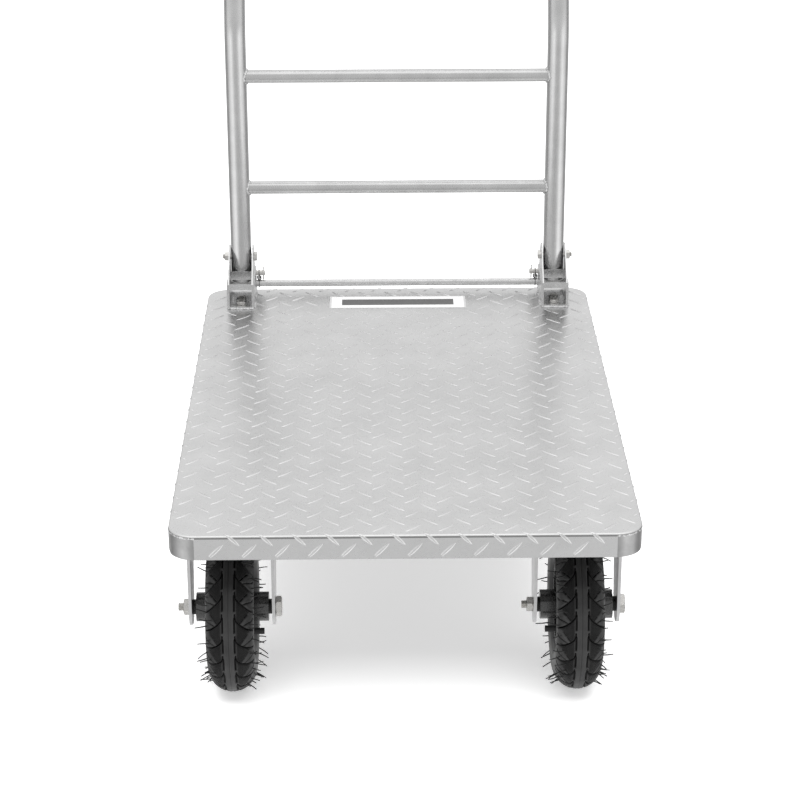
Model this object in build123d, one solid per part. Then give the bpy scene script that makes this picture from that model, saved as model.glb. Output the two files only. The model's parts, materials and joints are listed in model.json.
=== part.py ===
from build123d import *
import math
import os

# Flatbed platform truck with a folding push handle, two rigid and two swivel pneumatic wheels.
# Millimetres. +Y points to the handle, +Z is up, left is -X.
# Every piece is drawn about the deck's centre line and middle, with the floor at Z = 0.
# SHIFT_Y then moves the truck so that the middle of its whole box stands on the origin.

# ---------------------------------------------------------------- driving sizes
# Deck tray
DECK_LENGTH = 900.0
DECK_WIDTH = 600.0
DECK_SHEET = 2.0
DECK_SKIRT = 33.0
DECK_CORNER_R = 35.0
DECK_FOLD_R = 3.0
CREASE_FROM_BACK = 98.0
CREASE_WIDTH = 1.6
CREASE_DEPTH = 0.3
STRIP_SEAM = 0.4
LABEL_LENGTH = 213.0
LABEL_WIDTH = 53.0
LABEL_THICKNESS = 0.4
LABEL_FROM_BACK = 66.8

# Under-deck frame
FRAME_HEIGHT = 26.0
FRAME_SHEET = 2.5
MEMBER_PAST_PLATE = 5.0
MEMBER_END_GAP = 3.0
RAIL_WIDTH = 40.0
RAIL_X = 150.0
BACKING_THICKNESS = 4.0

# Wheels
TYRE_DIAMETER = 225.0
TYRE_WIDTH = 64.0
TREAD_THICKNESS = 7.0
SIDEWALL_THICKNESS = 6.5
BEAD_SEAT_R = 50.8
OVAL_BELOW_SEAT = 3.3
BEAD_WIDTH = 6.0
BEAD_HEIGHT = 13.0
RIM_SHEET = 2.5
RIM_INSIDE_TYRE = 13.0
RIM_FLANGE = 9.2
TUBE_WALL = 2.0
TUBE_GAP = 0.3
HUB_LENGTH = 96.0
HUB_DIAMETER = 39.0
HUB_WALL = 2.0
BEARING_WIDTH = 11.0
VALVE_DIAMETER = 8.5
VALVE_BORE = 3.0
VALVE_REACH = 43.0
VALVE_OFFSET = 12.0
VALVE_CIRCLE_R = 41.0
VALVE_DROP = 17.0
RIM_BOLT_CIRCLE_R = 33.0
RIM_BOLT_COUNT = 4

# Casters
WHEEL_INSET = 72.0
FRONT_AXLE_FROM_EDGE = 146.0
SWIVEL_FROM_BACK = 175.0
SWIVEL_TRAIL = 50.0
WHEEL_HEADROOM = 28.5
FORK_SHEET = 4.0
FORK_EYE_R = 24.0
FORK_BEND_R = 6.0
SPACER_LENGTH = 5.0
SPACER_WALL = 2.5
AXLE_DIAMETER = 15.0
AXLE_THREAD = 11.0
AXLE_THREAD_PROUD = 7.0
AXLE_HEAD = (24.0, 8.4)
AXLE_NUT = (19.0, 8.4)
PLATE_LENGTH = 140.0
FRONT_PLATE_OFFSET = 15.0
LEG_TOP_STEP = 0.5
SWIVEL_PLATE_THICKNESS = 5.0
PLATE_BOLT_FROM_LEG = 15.5
PLATE_BOLT_FROM_END = 17.5
RACE_DIAMETER = 66.0
RACE_BORE = 26.0
RACE_HEIGHT = 9.2
KINGPIN_DIAMETER = 12.0
KINGPIN_HEAD = (24.0, 6.0)
KINGPIN_FOOT = (20.0, 5.0)

# Handle
HANDLE_INSET = 55.5
HANDLE_FROM_BACK = 40.0
HANDLE_TUBE = 32.0
HANDLE_WALL = 2.0
HANDLE_TOP = 890.0
HANDLE_FOOT = 30.0
KINK_HEIGHT = 423.0
KINK_ANGLE = 18.0
KINK_R = 110.0
LOOP_R = 75.0
BAR_DIAMETER = 20.0
BAR_WALL = 1.5
LOWER_BAR_HEIGHT = 181.0
UPPER_BAR_HEIGHT = 357.5
PIVOT_HEIGHT = 68.6

# Handle brackets, heights above the deck
HANDLE_SIDE_GAP = 1.2
BRACKET_SHEET = 2.0
BRACKET_FRONT = 93.0
BRACKET_PAST_ROD = 9.0
BRACKET_SHOULDER = 40.0
BRACKET_TOP_R = 17.5
BRACKET_TOP_OFFSET = 4.0
BASE_BACK = 25.0
SHOE_SHEET = 2.0
STRAP_HEIGHTS = (31.5, 41.0)
STRAP_THICKNESS = 3.0
STOP_HEIGHTS = (36.0, 50.0)
STOP_GAP = 0.5
FOOT_BOLT_STEPS = (13.0, 32.0)

# Release rod behind the tube ends
ROD_DIAMETER = 11.0
ROD_PAST_TUBE = 12.0
ROD_HEIGHT = 13.5
ROD_TRAVEL = 5.0
ROD_CAP_LIP = 0.8
ROD_CAP_LENGTH = 4.5
ROD_SLOT_GAP = 0.2
TONGUE_SIDE_GAP = 3.2
TONGUE_THICKNESS = 4.0
TONGUE_GAP = 2.0
TONGUE_TOP = 28.5
ANCHOR_DIAMETER = 8.0
ANCHOR_HEIGHT = 31.0
ANCHOR_HEAD_LIP = 1.3
ANCHOR_HEAD_LENGTH = 3.0
ANCHOR_REACH = 14.0
SPLIT_PIN_DIAMETER = 2.0
SPLIT_PIN_ROD_GAP = 1.0
SPLIT_PIN_FROM_TIP = 3.0
SPRING_WIRE = 1.2
SPRING_COIL_R = 3.2
SPRING_TURNS = 4
SPRING_HOOK_GAP = 0.2
SPRING_HOOK_OPEN = 60.0
SPRING_POINTS = 12
SPRING_FROM_WALL = 4.5

# Fits and standard fasteners: shank, across flats, head height, nut height
RUNNING = 0.05
CLEARANCE = 0.5
THREAD_GAP = 0.02
OVERCUT = 1.0
THREAD_PROUD = 2.0
M8 = (8.0, 13.0, 5.3, 6.8)
M10 = (10.0, 16.0, 6.4, 8.0)
PIVOT_NUT_REACH = 3.0

# ---------------------------------------------------------------- dependent places
WHEEL_R = TYRE_DIAMETER / 2
PLATE_BOTTOM = TYRE_DIAMETER + WHEEL_HEADROOM
PLATE_TOP = PLATE_BOTTOM + SWIVEL_PLATE_THICKNESS
DECK_UNDER = PLATE_TOP + FRAME_HEIGHT
DECK_TOP = DECK_UNDER + DECK_SHEET
DECK_BACK = DECK_LENGTH / 2
DECK_FRONT = -DECK_LENGTH / 2
WHEEL_X = DECK_WIDTH / 2 - WHEEL_INSET
FRONT_AXLE_Y = DECK_FRONT + FRONT_AXLE_FROM_EDGE
FRONT_PLATE_Y = FRONT_AXLE_Y + FRONT_PLATE_OFFSET
SWIVEL_Y = DECK_BACK - SWIVEL_FROM_BACK
REAR_AXLE_Y = SWIVEL_Y + SWIVEL_TRAIL
FORK_GAP = HUB_LENGTH + 2 * SPACER_LENGTH
PLATE_BOLT_X = FORK_GAP - 2 * PLATE_BOLT_FROM_LEG
PLATE_BOLT_Y = PLATE_LENGTH - 2 * PLATE_BOLT_FROM_END
MEMBER_WIDTH = PLATE_LENGTH + 2 * MEMBER_PAST_PLATE
SPACER_DIAMETER = AXLE_DIAMETER + 2 * SPACER_WALL
BEARING_DIAMETER = HUB_DIAMETER - 2 * HUB_WALL
RIM_WIDTH = TYRE_WIDTH - RIM_INSIDE_TYRE
FORK_WIDTH = FORK_GAP + 2 * FORK_SHEET
SECTION_R = (WHEEL_R + BEAD_SEAT_R - OVAL_BELOW_SEAT) / 2
SECTION_HEIGHT = WHEEL_R - SECTION_R
BEAD_FACE = RIM_WIDTH / 2 - RIM_SHEET

HANDLE_X = DECK_WIDTH / 2 - HANDLE_INSET
HANDLE_Y = DECK_BACK - HANDLE_FROM_BACK
HANDLE_R = HANDLE_TUBE / 2
KINK_Z = DECK_TOP + KINK_HEIGHT
LOOP_Z = HANDLE_TOP - HANDLE_R
LOOP_Y = HANDLE_Y + (LOOP_Z - KINK_Z) * math.tan(math.radians(KINK_ANGLE))
PIVOT_Z = DECK_TOP + PIVOT_HEIGHT
WALL_IN = HANDLE_R + HANDLE_SIDE_GAP
WALL_OUT = WALL_IN + BRACKET_SHEET
SHOE_OUT = WALL_OUT + SHOE_SHEET
BRACKET_FRONT_Y = DECK_BACK - BRACKET_FRONT
ROD_Y = HANDLE_Y + HANDLE_R + ROD_PAST_TUBE
BRACKET_BACK_Y = ROD_Y + BRACKET_PAST_ROD
BASE_BACK_Y = DECK_BACK - BASE_BACK
BASE_TOP = DECK_TOP + SHOE_SHEET + BRACKET_SHEET
ROD_Z = DECK_TOP + ROD_HEIGHT
ANCHOR_Z = DECK_TOP + ANCHOR_HEIGHT
SPLIT_PIN_REACH = ANCHOR_Z - ROD_Z - ROD_DIAMETER / 2 - SPLIT_PIN_ROD_GAP
MEMBER_LENGTH = DECK_WIDTH - 2 * (DECK_SHEET + MEMBER_END_GAP)

SHIFT_Y = -(LOOP_Y + HANDLE_R - DECK_BACK) / 2


# ---------------------------------------------------------------- helpers
def save(name, pieces):
    """Write the pieces, moved into the truck's own frame, as one named node."""
    placed = [Pos(0, SHIFT_Y, 0) * solid for piece in pieces for solid in piece.solids()]
    export_step(placed[0] if len(placed) == 1 else Compound(placed), f"parts/{name}.step")


def block(x, y, z):
    """Box between the two values of each pair."""
    x0, x1 = sorted(x)
    y0, y1 = sorted(y)
    z0, z1 = sorted(z)
    return Pos((x0 + x1) / 2, (y0 + y1) / 2, (z0 + z1) / 2) * Box(x1 - x0, y1 - y0, z1 - z0)


def bar_x(radius, x, y, z):
    """Round bar along X between the two values of x."""
    x0, x1 = sorted(x)
    return Pos((x0 + x1) / 2, y, z) * Rot(0, 90, 0) * Cylinder(radius, x1 - x0)


def bar_y(radius, x, y, z):
    """Round bar along Y between the two values of y."""
    y0, y1 = sorted(y)
    return Pos(x, (y0 + y1) / 2, z) * Rot(90, 0, 0) * Cylinder(radius, y1 - y0)


def bar_z(radius, x, y, z):
    """Upright round bar between the two values of z."""
    z0, z1 = sorted(z)
    return Pos(x, y, (z0 + z1) / 2) * Cylinder(radius, z1 - z0)


def hex_x(flats, x, y, z):
    """Hexagonal bar along X with a corner towards the front."""
    x0, x1 = sorted(x)
    face = Plane.YZ.offset(x0) * Pos(y, z) * RegularPolygon(flats / 2, 6, major_radius=False)
    return extrude(face, amount=x1 - x0)


def hex_z(flats, x, y, z):
    """Upright hexagonal bar between the two values of z."""
    z0, z1 = sorted(z)
    return extrude(Pos(x, y, z0) * RegularPolygon(flats / 2, 6, major_radius=False), amount=z1 - z0)


def nut_z(size, x, y, z0):
    """Hex nut with its lower face at z0."""
    shank, flats, _, height = size
    return hex_z(flats, x, y, (z0, z0 + height)) - bar_z(shank / 2 + THREAD_GAP, x, y, (z0, z0 + height))


def tangent_touch(point, centre, radius, turn):
    """Where the line from a point touches a circle; turn is +1 or -1 for the side."""
    dx = centre[0] - point[0]
    dy = centre[1] - point[1]
    distance = math.hypot(dx, dy)
    reach = math.sqrt(distance**2 - radius**2)
    angle = math.atan2(dy, dx) + turn * math.asin(radius / distance)
    return (point[0] + reach * math.cos(angle), point[1] + reach * math.sin(angle))


def side_plate(points, arc, x):
    """Plate across X: an outline in Y and Z whose last stretch is an arc through three points."""
    x0, x1 = sorted(x)
    straight = Polyline(*[(y, z) for y, z in points])
    curve = ThreePointArc(*arc)
    face = Plane.YZ.offset(x0) * make_face([straight, curve])
    return extrude(face, amount=x1 - x0)


def corners(x_step, y_step):
    """Four corners of a rectangle about the origin."""
    return [(sx * x_step / 2, sy * y_step / 2) for sx in (-1, 1) for sy in (-1, 1)]


SIDES = (-1, 1)
CASTER_PLATES = [(side * WHEEL_X, y) for y in (FRONT_PLATE_Y, SWIVEL_Y) for side in SIDES]


# ---------------------------------------------------------------- deck
def deck_shell():
    """Folded tray before its corners are cut out."""
    skirt_bottom = DECK_TOP - DECK_SKIRT
    outer = Pos(0, 0, skirt_bottom) * extrude(
        RectangleRounded(DECK_WIDTH, DECK_LENGTH, DECK_CORNER_R), amount=DECK_SKIRT
    )
    outer = fillet(outer.edges().group_by(Axis.Z)[-1], DECK_FOLD_R)
    hollow = RectangleRounded(
        DECK_WIDTH - 2 * DECK_SHEET, DECK_LENGTH - 2 * DECK_SHEET, DECK_CORNER_R - DECK_SHEET
    )
    return outer - Pos(0, 0, skirt_bottom) * extrude(hollow, amount=DECK_SKIRT - DECK_SHEET)


def corner_blocks(seam):
    """The four corner spaces under the top sheet, drawn in by the seam."""
    width = DECK_CORNER_R - seam
    blocks = []
    for sx in SIDES:
        for sy in SIDES:
            x = sx * DECK_WIDTH / 2
            y = sy * DECK_LENGTH / 2
            height = (DECK_TOP - DECK_SKIRT, DECK_UNDER)
            blocks.append(block((x, x - sx * width), (y, y - sy * width), height))
    return blocks


def foot_bolt_places():
    """Where the handle brackets are bolted to the deck."""
    return [(side * HANDLE_X, BRACKET_FRONT_Y + step) for side in SIDES for step in FOOT_BOLT_STEPS]


def make_deck():
    shell = deck_shell()
    plate = shell
    for corner in corner_blocks(0):
        plate -= corner
    crease_y = DECK_BACK - CREASE_FROM_BACK
    plate -= block(
        (-DECK_WIDTH, DECK_WIDTH),
        (crease_y - CREASE_WIDTH / 2, crease_y + CREASE_WIDTH / 2),
        (DECK_TOP - CREASE_DEPTH, DECK_TOP + CREASE_DEPTH),
    )
    for x, y in foot_bolt_places():
        plate -= bar_z(M8[0] / 2 + CLEARANCE, x, y, (DECK_UNDER - OVERCUT, DECK_TOP + OVERCUT))
    save("deck_plate", [plate])
    save("corner_strips", [shell & corner for corner in corner_blocks(STRIP_SEAM)])
    label_y = DECK_BACK - LABEL_FROM_BACK
    save("label", [block(
        (-LABEL_LENGTH / 2, LABEL_LENGTH / 2),
        (label_y - LABEL_WIDTH / 2, label_y + LABEL_WIDTH / 2),
        (DECK_TOP, DECK_TOP + LABEL_THICKNESS),
    )])


# ---------------------------------------------------------------- frame under the deck
def channel(x, y, along_x):
    """Channel that is open towards the deck, with its web at the bottom."""
    body = block(x, y, (PLATE_TOP, DECK_UNDER))
    x0, x1 = sorted(x)
    y0, y1 = sorted(y)
    if along_x:
        return body - block((x0 - OVERCUT, x1 + OVERCUT), (y0 + FRAME_SHEET, y1 - FRAME_SHEET),
                            (PLATE_TOP + FRAME_SHEET, DECK_UNDER + OVERCUT))
    return body - block((x0 + FRAME_SHEET, x1 - FRAME_SHEET), (y0 - OVERCUT, y1 + OVERCUT),
                        (PLATE_TOP + FRAME_SHEET, DECK_UNDER + OVERCUT))


def make_frame():
    half = MEMBER_WIDTH / 2
    members = []
    for centre in (FRONT_PLATE_Y, SWIVEL_Y):
        member = channel((-MEMBER_LENGTH / 2, MEMBER_LENGTH / 2), (centre - half, centre + half), True)
        for side in SIDES:
            for dx, dy in corners(PLATE_BOLT_X, PLATE_BOLT_Y):
                member -= bar_z(M10[0] / 2 + CLEARANCE, side * WHEEL_X + dx, centre + dy,
                                (PLATE_TOP - OVERCUT, PLATE_TOP + FRAME_SHEET + OVERCUT))
        members.append(member)
    for side in SIDES:
        members[1] -= bar_z(KINGPIN_HEAD[0] / 2 + 2 * CLEARANCE, side * WHEEL_X, SWIVEL_Y,
                            (PLATE_TOP - OVERCUT, PLATE_TOP + FRAME_SHEET + OVERCUT))
    save("cross_members", members)
    rail_y = (FRONT_PLATE_Y + half, SWIVEL_Y - half)
    save("side_rails", [
        channel((side * RAIL_X - RAIL_WIDTH / 2, side * RAIL_X + RAIL_WIDTH / 2), rail_y, False)
        for side in SIDES
    ])
    plates = []
    for side in SIDES:
        plate = block(
            (side * HANDLE_X - SHOE_OUT, side * HANDLE_X + SHOE_OUT),
            (BRACKET_FRONT_Y, BASE_BACK_Y),
            (DECK_UNDER - BACKING_THICKNESS, DECK_UNDER),
        )
        for x, y in foot_bolt_places():
            plate -= bar_z(M8[0] / 2 + CLEARANCE, x, y,
                           (DECK_UNDER - BACKING_THICKNESS - OVERCUT, DECK_UNDER + OVERCUT))
        plates.append(plate)
    save("backing_plates", plates)


# ---------------------------------------------------------------- handle brackets
def bracket_wall(x, low):
    """Tall wall with sloping shoulders and a rounded top around the pivot."""
    front = (BRACKET_FRONT_Y, DECK_TOP + BRACKET_SHOULDER)
    back = (BRACKET_BACK_Y, DECK_TOP + BRACKET_SHOULDER)
    centre = (HANDLE_Y + BRACKET_TOP_OFFSET, PIVOT_Z)
    front_touch = tangent_touch(front, centre, BRACKET_TOP_R, 1)
    back_touch = tangent_touch(back, centre, BRACKET_TOP_R, -1)
    outline = [front_touch, front, (BRACKET_FRONT_Y, low), (BRACKET_BACK_Y, low), back, back_touch]
    crown = (centre[0], centre[1] + BRACKET_TOP_R)
    return side_plate(outline, (back_touch, crown, front_touch), x)


def rod_slot(x):
    """Upright slot that lets the release rod travel down."""
    radius = ROD_DIAMETER / 2 + ROD_SLOT_GAP
    low = ROD_Z - ROD_TRAVEL
    slot = block(x, (ROD_Y - radius, ROD_Y + radius), (low, ROD_Z))
    return slot + bar_x(radius, x, ROD_Y, ROD_Z) + bar_x(radius, x, ROD_Y, low)


def hinge_bracket(side):
    """Tall folded bracket that carries the pivot, with its front strap and the handle's stop."""
    cx = side * HANDLE_X
    low = DECK_TOP + SHOE_SHEET
    inside = (cx - WALL_IN, cx + WALL_IN)
    body = block(inside, (BRACKET_FRONT_Y, BASE_BACK_Y), (low, BASE_TOP))
    for way in SIDES:
        body += bracket_wall((cx + way * WALL_IN, cx + way * WALL_OUT), low)
    body += block(inside, (BRACKET_FRONT_Y, BRACKET_FRONT_Y + STRAP_THICKNESS),
                  (DECK_TOP + STRAP_HEIGHTS[0], DECK_TOP + STRAP_HEIGHTS[1]))
    stop_face = HANDLE_Y - HANDLE_R - STOP_GAP
    body += block(inside, (stop_face - STRAP_THICKNESS, stop_face),
                  (DECK_TOP + STOP_HEIGHTS[0], DECK_TOP + STOP_HEIGHTS[1]))
    across = (cx - SHOE_OUT - OVERCUT, cx + SHOE_OUT + OVERCUT)
    body -= bar_x(M8[0] / 2 + RUNNING, across, HANDLE_Y, PIVOT_Z)
    body -= bar_x(ANCHOR_DIAMETER / 2 + RUNNING, across, ROD_Y, ANCHOR_Z)
    return body - rod_slot(across) - foot_holes()


def bracket_shoe(side):
    """Low outer channel between the tall bracket and the deck."""
    cx = side * HANDLE_X
    body = block((cx - SHOE_OUT, cx + SHOE_OUT), (BRACKET_FRONT_Y, BASE_BACK_Y),
                 (DECK_TOP, DECK_TOP + SHOE_SHEET))
    for way in SIDES:
        body += block((cx + way * WALL_OUT, cx + way * SHOE_OUT), (BRACKET_FRONT_Y, BRACKET_BACK_Y),
                      (DECK_TOP, DECK_TOP + BRACKET_SHOULDER))
    across = (cx - SHOE_OUT - OVERCUT, cx + SHOE_OUT + OVERCUT)
    body -= bar_x(ANCHOR_DIAMETER / 2 + RUNNING, across, ROD_Y, ANCHOR_Z)
    return body - rod_slot(across) - foot_holes()


def foot_holes():
    """Clearance holes of the four foot bolts."""
    height = (DECK_TOP - OVERCUT, BASE_TOP + OVERCUT)
    return [bar_z(M8[0] / 2 + CLEARANCE, x, y, height) for x, y in foot_bolt_places()]


def make_brackets():
    save("handle_brackets", [hinge_bracket(side) for side in SIDES])
    save("bracket_shoes", [bracket_shoe(side) for side in SIDES])
    shank, flats, head, nut = M8
    nut_seat = DECK_UNDER - BACKING_THICKNESS - nut
    save("bracket_bolts", [
        hex_z(flats, x, y, (BASE_TOP, BASE_TOP + head))
        + bar_z(shank / 2, x, y, (nut_seat - THREAD_PROUD, BASE_TOP))
        for x, y in foot_bolt_places()
    ])
    nuts = [nut_z(M8, x, y, nut_seat) for x, y in foot_bolt_places()]
    pivots = []
    for side in SIDES:
        cx = side * HANDLE_X
        inner = cx - side * WALL_OUT
        outer = cx + side * WALL_OUT
        tip = outer + side * (nut + PIVOT_NUT_REACH)
        pivots.append(hex_x(flats, (inner, inner - side * head), HANDLE_Y, PIVOT_Z)
                      + bar_x(shank / 2, (inner, tip), HANDLE_Y, PIVOT_Z))
        nuts.append(hex_x(flats, (outer, outer + side * nut), HANDLE_Y, PIVOT_Z)
                    - bar_x(shank / 2 + THREAD_GAP, (outer - side, tip), HANDLE_Y, PIVOT_Z))
    save("pivot_bolts", pivots)
    save("m8_nuts", nuts)


# ---------------------------------------------------------------- handle
def make_handle():
    foot = DECK_TOP + HANDLE_FOOT
    path = FilletPolyline(
        (-HANDLE_X, HANDLE_Y, foot),
        (-HANDLE_X, HANDLE_Y, KINK_Z),
        (-HANDLE_X, LOOP_Y, LOOP_Z),
        (HANDLE_X, LOOP_Y, LOOP_Z),
        (HANDLE_X, HANDLE_Y, KINK_Z),
        (HANDLE_X, HANDLE_Y, foot),
        radius=[KINK_R, LOOP_R, LOOP_R, KINK_R],
    )
    section = Plane(origin=path @ 0, z_dir=path % 0)
    outer = sweep(section * Circle(HANDLE_R), path=path)
    tube = outer - sweep(section * Circle(HANDLE_R - HANDLE_WALL), path=path)
    reach = HANDLE_X + HANDLE_TUBE
    tube -= bar_x(M8[0] / 2 + RUNNING, (-reach, reach), HANDLE_Y, PIVOT_Z)
    save("handle_tube", [tube])
    bar_r = BAR_DIAMETER / 2
    for name, height in (("crossbar_lower", LOWER_BAR_HEIGHT), ("crossbar_upper", UPPER_BAR_HEIGHT)):
        z = DECK_TOP + height
        bar = bar_x(bar_r, (-HANDLE_X, HANDLE_X), HANDLE_Y, z)
        bar -= bar_x(bar_r - BAR_WALL, (-HANDLE_X, HANDLE_X), HANDLE_Y, z)
        for side in SIDES:
            bar -= bar_z(HANDLE_R, side * HANDLE_X, HANDLE_Y, (z - BAR_DIAMETER, z + BAR_DIAMETER))
        save(name, [bar])


# ---------------------------------------------------------------- release rod
def spring():
    """Pull spring of one wire from a hook round the rod, at the origin, up to a hook round the anchor pin."""
    wire = SPRING_WIRE / 2
    top = ANCHOR_Z - ROD_Z
    top_hook = ANCHOR_DIAMETER / 2 + wire + SPRING_HOOK_GAP
    rod_hook = ROD_DIAMETER / 2 + wire + SPRING_HOOK_GAP
    height = top - top_hook - rod_hook
    sweep_angle = math.radians(360 - SPRING_HOOK_OPEN)
    turns = [sweep_angle * i / SPRING_POINTS for i in range(1, SPRING_POINTS + 1)]
    points = [(0, -rod_hook * math.sin(turn), rod_hook * math.cos(turn)) for turn in reversed(turns)]
    count = SPRING_TURNS * SPRING_POINTS
    for i in range(count + 1):
        share = i / count
        angle = math.pi / 2 + 2 * math.pi * SPRING_TURNS * share
        radius = SPRING_COIL_R * min(1, 2 * SPRING_TURNS * share, 2 * SPRING_TURNS * (1 - share))
        points.append((radius * math.cos(angle), radius * math.sin(angle), rod_hook + height * share))
    points += [(0, -top_hook * math.sin(turn), top - top_hook * math.cos(turn)) for turn in turns]
    path = Spline(*points)
    return sweep(Plane(origin=path @ 0, z_dir=path % 0) * Circle(wire), path=path)


def make_release():
    cap_r = ROD_DIAMETER / 2 + ROD_CAP_LIP
    end = HANDLE_X + SHOE_OUT + CLEARANCE
    rod = bar_x(ROD_DIAMETER / 2, (-end, end), ROD_Y, ROD_Z)
    for side in SIDES:
        rod += bar_x(cap_r, (side * end, side * (end + ROD_CAP_LENGTH)), ROD_Y, ROD_Z)
    save("release_rod", [rod])

    front = HANDLE_Y + HANDLE_R + TONGUE_GAP
    low = ROD_Z - ROD_DIAMETER / 2
    shelf = ROD_Z + ROD_DIAMETER / 2
    tongues = []
    pins = []
    splits = []
    springs = []
    coil = spring()
    for side in SIDES:
        cx = side * HANDLE_X
        wide = (cx - WALL_IN + TONGUE_SIDE_GAP, cx + WALL_IN - TONGUE_SIDE_GAP)
        tongue = block(wide, (front, ROD_Y), (low, shelf))
        tongue += block(wide, (front, front + TONGUE_THICKNESS), (low, DECK_TOP + TONGUE_TOP))
        tongues.append(tongue - bar_x(ROD_DIAMETER / 2, wide, ROD_Y, ROD_Z))
        outer = cx + side * SHOE_OUT
        inner = cx - side * SHOE_OUT
        tip = inner - side * ANCHOR_REACH
        hole_x = tip + side * SPLIT_PIN_FROM_TIP
        pin = bar_x(ANCHOR_DIAMETER / 2, (outer, tip), ROD_Y, ANCHOR_Z)
        pin += bar_x(ANCHOR_DIAMETER / 2 + ANCHOR_HEAD_LIP,
                     (outer, outer + side * ANCHOR_HEAD_LENGTH), ROD_Y, ANCHOR_Z)
        split = bar_z(SPLIT_PIN_DIAMETER / 2, hole_x, ROD_Y,
                      (ANCHOR_Z - SPLIT_PIN_REACH, ANCHOR_Z + SPLIT_PIN_REACH))
        drill = bar_z(SPLIT_PIN_DIAMETER / 2 + RUNNING, hole_x, ROD_Y,
                      (ANCHOR_Z - ANCHOR_DIAMETER, ANCHOR_Z + ANCHOR_DIAMETER))
        pins.append(pin - drill)
        splits.append(split)
        springs.append(Pos(inner - side * SPRING_FROM_WALL, ROD_Y, ROD_Z) * coil)
    save("latch_tongues", tongues)
    save("anchor_pins", pins)
    save("split_pins", splits)
    save("release_springs", springs)


# ---------------------------------------------------------------- casters
def fork(cx, plate_y, top, leg_top_y, axle_y):
    """Bent sheet fork: a flat top and two legs that narrow to a round eye at the axle."""
    half = FORK_WIDTH / 2
    body = block((cx - half, cx + half), plate_y, (top - FORK_SHEET, top))
    eye = (axle_y, WHEEL_R)
    front_top = (leg_top_y[0], top)
    back_top = (leg_top_y[1], top)
    front_touch = tangent_touch(front_top, eye, FORK_EYE_R, -1)
    back_touch = tangent_touch(back_top, eye, FORK_EYE_R, 1)
    outline = [front_touch, front_top, back_top, back_touch]
    bottom = (axle_y, WHEEL_R - FORK_EYE_R)
    for way in SIDES:
        legs = (cx + way * FORK_GAP / 2, cx + way * half)
        body += side_plate(outline, (back_touch, bottom, front_touch), legs)
    across = (cx - half - OVERCUT, cx + half + OVERCUT)
    body = body - bar_x(AXLE_DIAMETER / 2 + 2 * RUNNING, across, axle_y, WHEEL_R)
    for way in SIDES:
        corner_x = cx + way * (half - FORK_BEND_R)
        corner_z = top - FORK_BEND_R
        along = (plate_y[0] - OVERCUT, plate_y[1] + OVERCUT)
        spare = block((corner_x, cx + way * (half + OVERCUT)), along, (corner_z, top + OVERCUT))
        body -= spare - bar_y(FORK_BEND_R, corner_x, along, corner_z)
    return body


def axle_bolt(cx, axle_y):
    """Shoulder bolt with its head on the +X side and a reduced threaded end."""
    half = FORK_WIDTH / 2
    head = hex_x(AXLE_HEAD[0], (cx + half, cx + half + AXLE_HEAD[1]), axle_y, WHEEL_R)
    end = cx - half - AXLE_NUT[1] - AXLE_THREAD_PROUD
    thread = bar_x(AXLE_THREAD / 2, (end, cx), axle_y, WHEEL_R)
    return head + bar_x(AXLE_DIAMETER / 2, (cx - half, cx + half), axle_y, WHEEL_R) + thread


def axle_nut(cx, axle_y):
    """Nut on the -X side."""
    face = cx - FORK_WIDTH / 2
    span = (face - AXLE_NUT[1], face)
    thread = bar_x(AXLE_THREAD / 2 + THREAD_GAP, span, axle_y, WHEEL_R)
    return hex_x(AXLE_NUT[0], span, axle_y, WHEEL_R) - thread


def axle_spacers(cx, axle_y):
    """Outer spacers beside the hub and the long sleeve between the bearings."""
    hub = HUB_LENGTH / 2
    gap = FORK_GAP / 2
    sleeve = hub - BEARING_WIDTH
    spans = ((cx - gap, cx - hub), (cx - sleeve, cx + sleeve), (cx + hub, cx + gap))
    return [bar_x(SPACER_DIAMETER / 2, span, axle_y, WHEEL_R)
            - bar_x(AXLE_DIAMETER / 2 + RUNNING, span, axle_y, WHEEL_R) for span in spans]


def make_front_casters():
    plate_y = (FRONT_PLATE_Y - PLATE_LENGTH / 2, FRONT_PLATE_Y + PLATE_LENGTH / 2)
    leg_top = (FRONT_AXLE_Y - FORK_EYE_R - LEG_TOP_STEP, FRONT_PLATE_Y + PLATE_LENGTH / 2 - FORK_EYE_R)
    places = [side * WHEEL_X for side in SIDES]
    forks = []
    for cx in places:
        body = fork(cx, plate_y, PLATE_TOP, leg_top, FRONT_AXLE_Y)
        for dx, dy in corners(PLATE_BOLT_X, PLATE_BOLT_Y):
            body -= bar_z(M10[0] / 2 + CLEARANCE, cx + dx, FRONT_PLATE_Y + dy,
                          (PLATE_BOTTOM - OVERCUT, PLATE_TOP + OVERCUT))
        forks.append(body)
    save("front_forks", forks)
    save("front_axle_bolts", [axle_bolt(cx, FRONT_AXLE_Y) for cx in places])
    save("front_axle_nuts", [axle_nut(cx, FRONT_AXLE_Y) for cx in places])
    save("front_axle_spacers", [piece for cx in places for piece in axle_spacers(cx, FRONT_AXLE_Y)])


def make_caster_fixings():
    """Hex bolts from below through each caster plate into nuts inside the cross members."""
    shank, flats, head, nut = M10
    bolts = []
    nuts = []
    nut_seat = PLATE_TOP + FRAME_SHEET
    for px, py in CASTER_PLATES:
        under = PLATE_BOTTOM if py == SWIVEL_Y else PLATE_TOP - FORK_SHEET
        for dx, dy in corners(PLATE_BOLT_X, PLATE_BOLT_Y):
            x = px + dx
            y = py + dy
            bolts.append(hex_z(flats, x, y, (under - head, under))
                         + bar_z(shank / 2, x, y, (under, nut_seat + nut + THREAD_PROUD)))
            nuts.append(nut_z(M10, x, y, nut_seat))
    save("caster_bolts", bolts)
    save("caster_nuts", nuts)


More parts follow.
